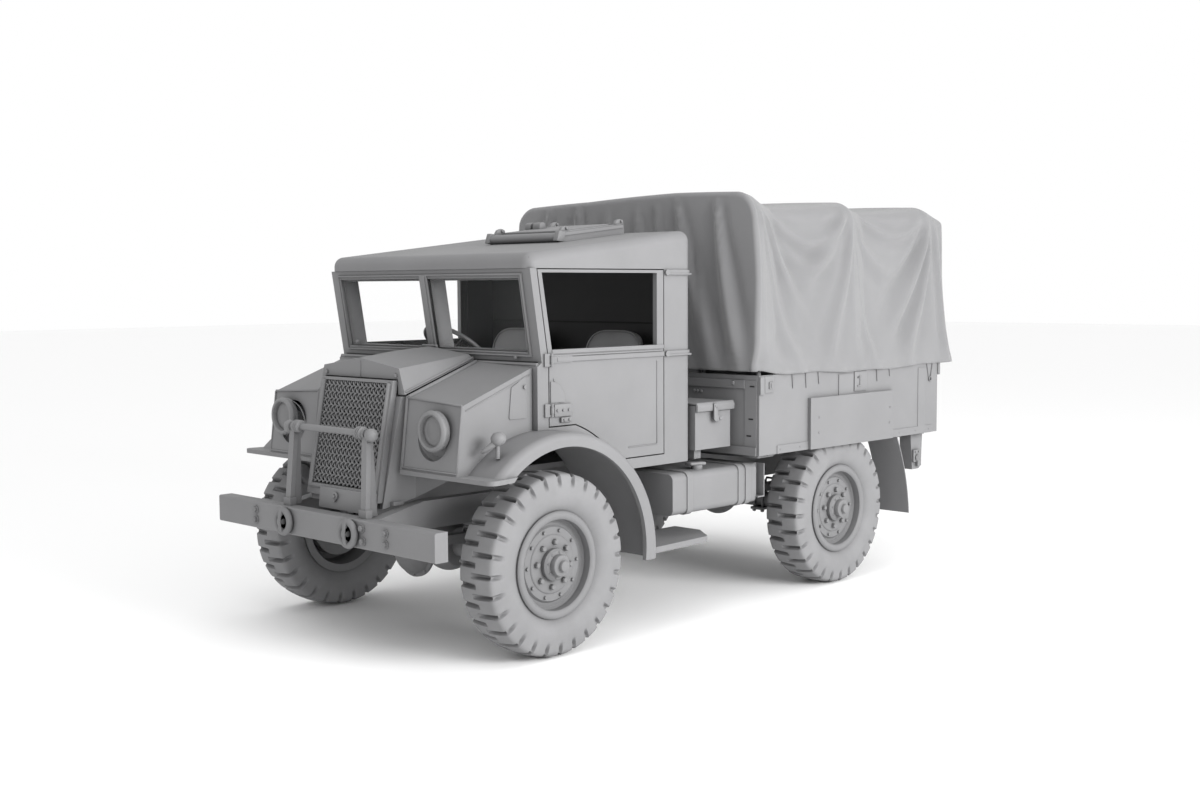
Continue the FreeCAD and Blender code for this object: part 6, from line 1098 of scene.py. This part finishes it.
def canvas_cover():
    """The whole sheet: rows of points across the bed, a rounded front corner and a front wall, and its threads."""
    base, rows = tilt_line(CLOTH_INSET)
    base = numpy.array(base)
    tangent = numpy.gradient(base, axis=0)
    outward = numpy.stack([tangent[:, 1], -tangent[:, 0]], axis=1)
    outward /= numpy.linalg.norm(outward, axis=1)[:, None]
    reach = numpy.concatenate([[0], numpy.cumsum(numpy.linalg.norm(numpy.diff(base, axis=0), axis=1))])
    count = len(base)
    on_left = base[:, 0] >= 0
    crown = numpy.clip(1 - numpy.abs(base[:, 0]) / 0.35, 0, 1)
    hem_lift = numpy.clip(1 - (base[:, 1] - TILT_HEM) / 0.25, 0, 1)

    points, cloth = [], []
    start = TILT_FRONT + FRONT_CORNER
    for station in numpy.linspace(start, TILT_REAR, STATIONS):
        ys = start + (station - start) / (TILT_REAR - start) * (rear_end(base[:, 1]) - start)
        y = float(ys.mean())
        left, right = cloth_depth(ys, base[:, 1], 1), cloth_depth(ys, base[:, 1], -1)
        depth = numpy.where(on_left, left, right) * (1 - crown) + 0.5 * (left + right) * crown
        x = base[:, 0] + outward[:, 0] * depth
        wave = 0.010 * math.sin(y * 3.1 + 0.6) + 0.004 * math.sin(y * 11.0)
        lift = 0.012 + wave + 0.026 * math.exp(-((y - TILT_FRONT) / 0.14) ** 2)
        z = base[:, 1] + outward[:, 1] * (depth + front_crest(base[:, 0], y)) + hem_lift * lift
        points += list(numpy.stack([x, ys, z], axis=1))
        cloth += list(numpy.stack([reach, ys], axis=1))
    for step in range(1, CORNER_STEPS):
        turn = math.pi / 2 * step / CORNER_STEPS
        inner = numpy.array(tilt_line(CLOTH_INSET + FRONT_CORNER * (1 - math.cos(turn)))[0])
        ys = numpy.full(count, TILT_FRONT + FRONT_CORNER * (1 - math.sin(turn)))
        depth = numpy.where(on_left, cloth_depth(ys, inner[:, 1], 1), cloth_depth(ys, inner[:, 1], -1))
        ridge = corner_reach(inner[:, 1])
        depth = (depth - ridge) * math.cos(turn) + ridge + front_crest(inner[:, 0], TILT_FRONT)
        points += list(numpy.stack([inner[:, 0] + outward[:, 0] * depth, ys,
                                    inner[:, 1] + outward[:, 1] * depth + hem_lift * FRONT_LIFT], axis=1))
        cloth += [(r, TILT_FRONT) for r in reach]

    inner = numpy.array(tilt_line(CLOTH_INSET + FRONT_CORNER)[0])
    depth = corner_reach(inner[:, 1]) + front_crest(inner[:, 0], TILT_FRONT)
    edge = inner + outward * depth[:, None]
    edge[:, 1] += hem_lift * FRONT_LIFT
    columns = count - 1 - 2 * rows
    left, crest, right = edge[:rows + 1], edge[rows:rows + columns + 1], edge[rows + columns:][::-1]
    up = numpy.linspace(0, 1, rows + 1)[:, None, None]
    over = numpy.linspace(0, 1, columns + 1)[:, None]
    chord = (1 - over) * left[-1] + over * right[-1]
    flat = ((1 - over) * left[:, None] + over * right[:, None] + up * (crest - chord)).reshape(-1, 2)
    stand = sum(fold(flat, *row) for row in WALL_FOLDS)
    border = numpy.min([0.98 - numpy.abs(flat[:, 0]), 2.44 - flat[:, 1]], axis=0)
    stand *= numpy.clip((border + 0.06) / 0.12, 0, 1)
    stand += 0.006 * numpy.exp(-((flat[:, 1] - 1.37) / 0.06) ** 2) * numpy.sin(flat[:, 0] * 17)
    stand = numpy.maximum(stand, -0.006 - 0.03 * numpy.clip((flat[:, 1] - TILT_LEDGE) / 0.12, 0, 1))
    grid = len(points) + numpy.arange(len(flat)).reshape(rows + 1, columns + 1)
    points += list(numpy.stack([flat[:, 0], TILT_FRONT - stand, flat[:, 1]], axis=1))
    cloth += [(p[0] + 8.0, p[1]) for p in flat]

    lines = [[i * count + k for k in range(count)] for i in range(STATIONS + CORNER_STEPS - 1)]
    chain = lines[:STATIONS][::-1] + lines[STATIONS:]
    chain.append(numpy.concatenate([grid[:-1, 0], grid[-1], grid[-2::-1, -1]]))
    faces = [(b[k], a[k], a[k + 1], b[k + 1]) for a, b in zip(chain, chain[1:]) for k in range(count - 1)]
    faces += [(grid[r, c], grid[r, c + 1], grid[r + 1, c + 1], grid[r + 1, c])
              for r in range(rows) for c in range(columns)]
    mesh = bpy.data.meshes.new("canvas_cover")
    mesh.from_pydata([tuple(map(float, p)) for p in points], [], [tuple(map(int, f)) for f in faces])
    weave = mesh.uv_layers.new(name="weave")
    for corner in mesh.loops:
        weave.data[corner.index].uv = cloth[corner.vertex_index]
    shaped = bmesh.new()
    shaped.from_mesh(mesh)
    bmesh.ops.recalc_face_normals(shaped, faces=shaped.faces)
    top = max(shaped.faces, key=lambda f: f.calc_center_median().z)
    if top.normal.z < 0:
        bmesh.ops.reverse_faces(shaped, faces=shaped.faces)
    shaped.to_mesh(mesh)
    shaped.free()
    mesh.shade_smooth()
    return mesh


def canvas_cloth(name, colour):
    """Dense plain weave on the sheet's own thread directions, with soft stains and a matt face."""
    material = coat(name, colour, rough=0.86, grain=260, depth=0.0005, cloud=0.05, cloud_size=1.6, round_edge=None)
    tree = material.node_tree
    uv = made_node(tree, "ShaderNodeUVMap", {}, uv_map="weave")
    split = made_node(tree, "ShaderNodeSeparateXYZ", {0: uv.outputs["UV"]})
    warp, weft = [maths(tree, "SINE", maths(tree, "MULTIPLY", split.outputs[axis], 2 * math.pi / THREAD_PITCH))
                  for axis in ("X", "Y")]
    from_seam = maths(tree, "ABSOLUTE", maths(tree, "SUBTRACT", split.outputs["Y"], SEAM_PLACE))
    seam = made_node(tree, "ShaderNodeMapRange", {"Value": from_seam, "From Min": 0.002, "From Max": 0.007,
                                                  "To Min": -6.0, "To Max": 0.0})
    relief = maths(tree, "ADD", maths(tree, "MULTIPLY", warp, weft), seam.outputs["Result"])
    grain = next(node for node in tree.nodes if node.type == "BUMP")
    weave = made_node(tree, "ShaderNodeBump", {"Height": relief, "Normal": grain.outputs["Normal"],
                                               "Distance": 0.0004, "Strength": 0.6})
    shader = tree.nodes["Principled BSDF"]
    shader.inputs["Sheen Weight"].default_value = 0.25
    shader.inputs["Sheen Roughness"].default_value = 0.5
    tree.links.new(weave.outputs["Normal"], shader.inputs["Normal"])
    return material


tilt_cloth = canvas_cloth("tilt_cloth", toned(PRIMER, 1.02))
cover_mesh = canvas_cover()
canvas = finished("canvas_tilt", cover_mesh, tilt_cloth)
thick = canvas.modifiers.new("cloth", "SOLIDIFY")
thick.thickness = CLOTH_THICKNESS
thick.offset = -1
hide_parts("tilt_canvas")

tilt_tape = coat("tilt_tape", toned(PRIMER, 0.95), rough=0.85, grain=500, depth=0.0004, cloud=0.06, cloud_size=9,
                 round_edge=None)

# Tilt ties and straps
# Short tapes sewn into the hem pull it down over the bed's sides, and a doubled strap at each rear corner runs to a
# ring.
tape_forms = [cut(BED_SIDE - 0.0005, 0.0062, ((y - 0.011, 1.382), (y + 0.008, 1.382), (y + 0.005, low + 0.03),
                                              (y - 0.001, low), (y - 0.005, low + 0.03)))
              for y, low in ((0.484, 1.292), (0.622, 1.288), (0.755, 1.305), (1.407, 1.290), (1.556, 1.316))]
tape_forms += [cut(BED_SIDE - 0.0005, 0.006, ((top - 0.007, 1.388), (top + 0.007, 1.388), (foot + 0.006, 1.282),
                                              (foot - 0.006, 1.282)))
               for top, foot in ((2.020, 2.047), (2.096, 2.068))]
plated("tilt_ties", both(tape_forms), tilt_tape, 0.0018)
rings = [bent_rod([(side * 1.0615, 2.058 + y, 1.276 + z) for y, z in circle(24, 0.014)], 0.0042, 8, closed=True)
         for side in (1, -1)]
rounded("tilt_rings", rings, chassis_primer)
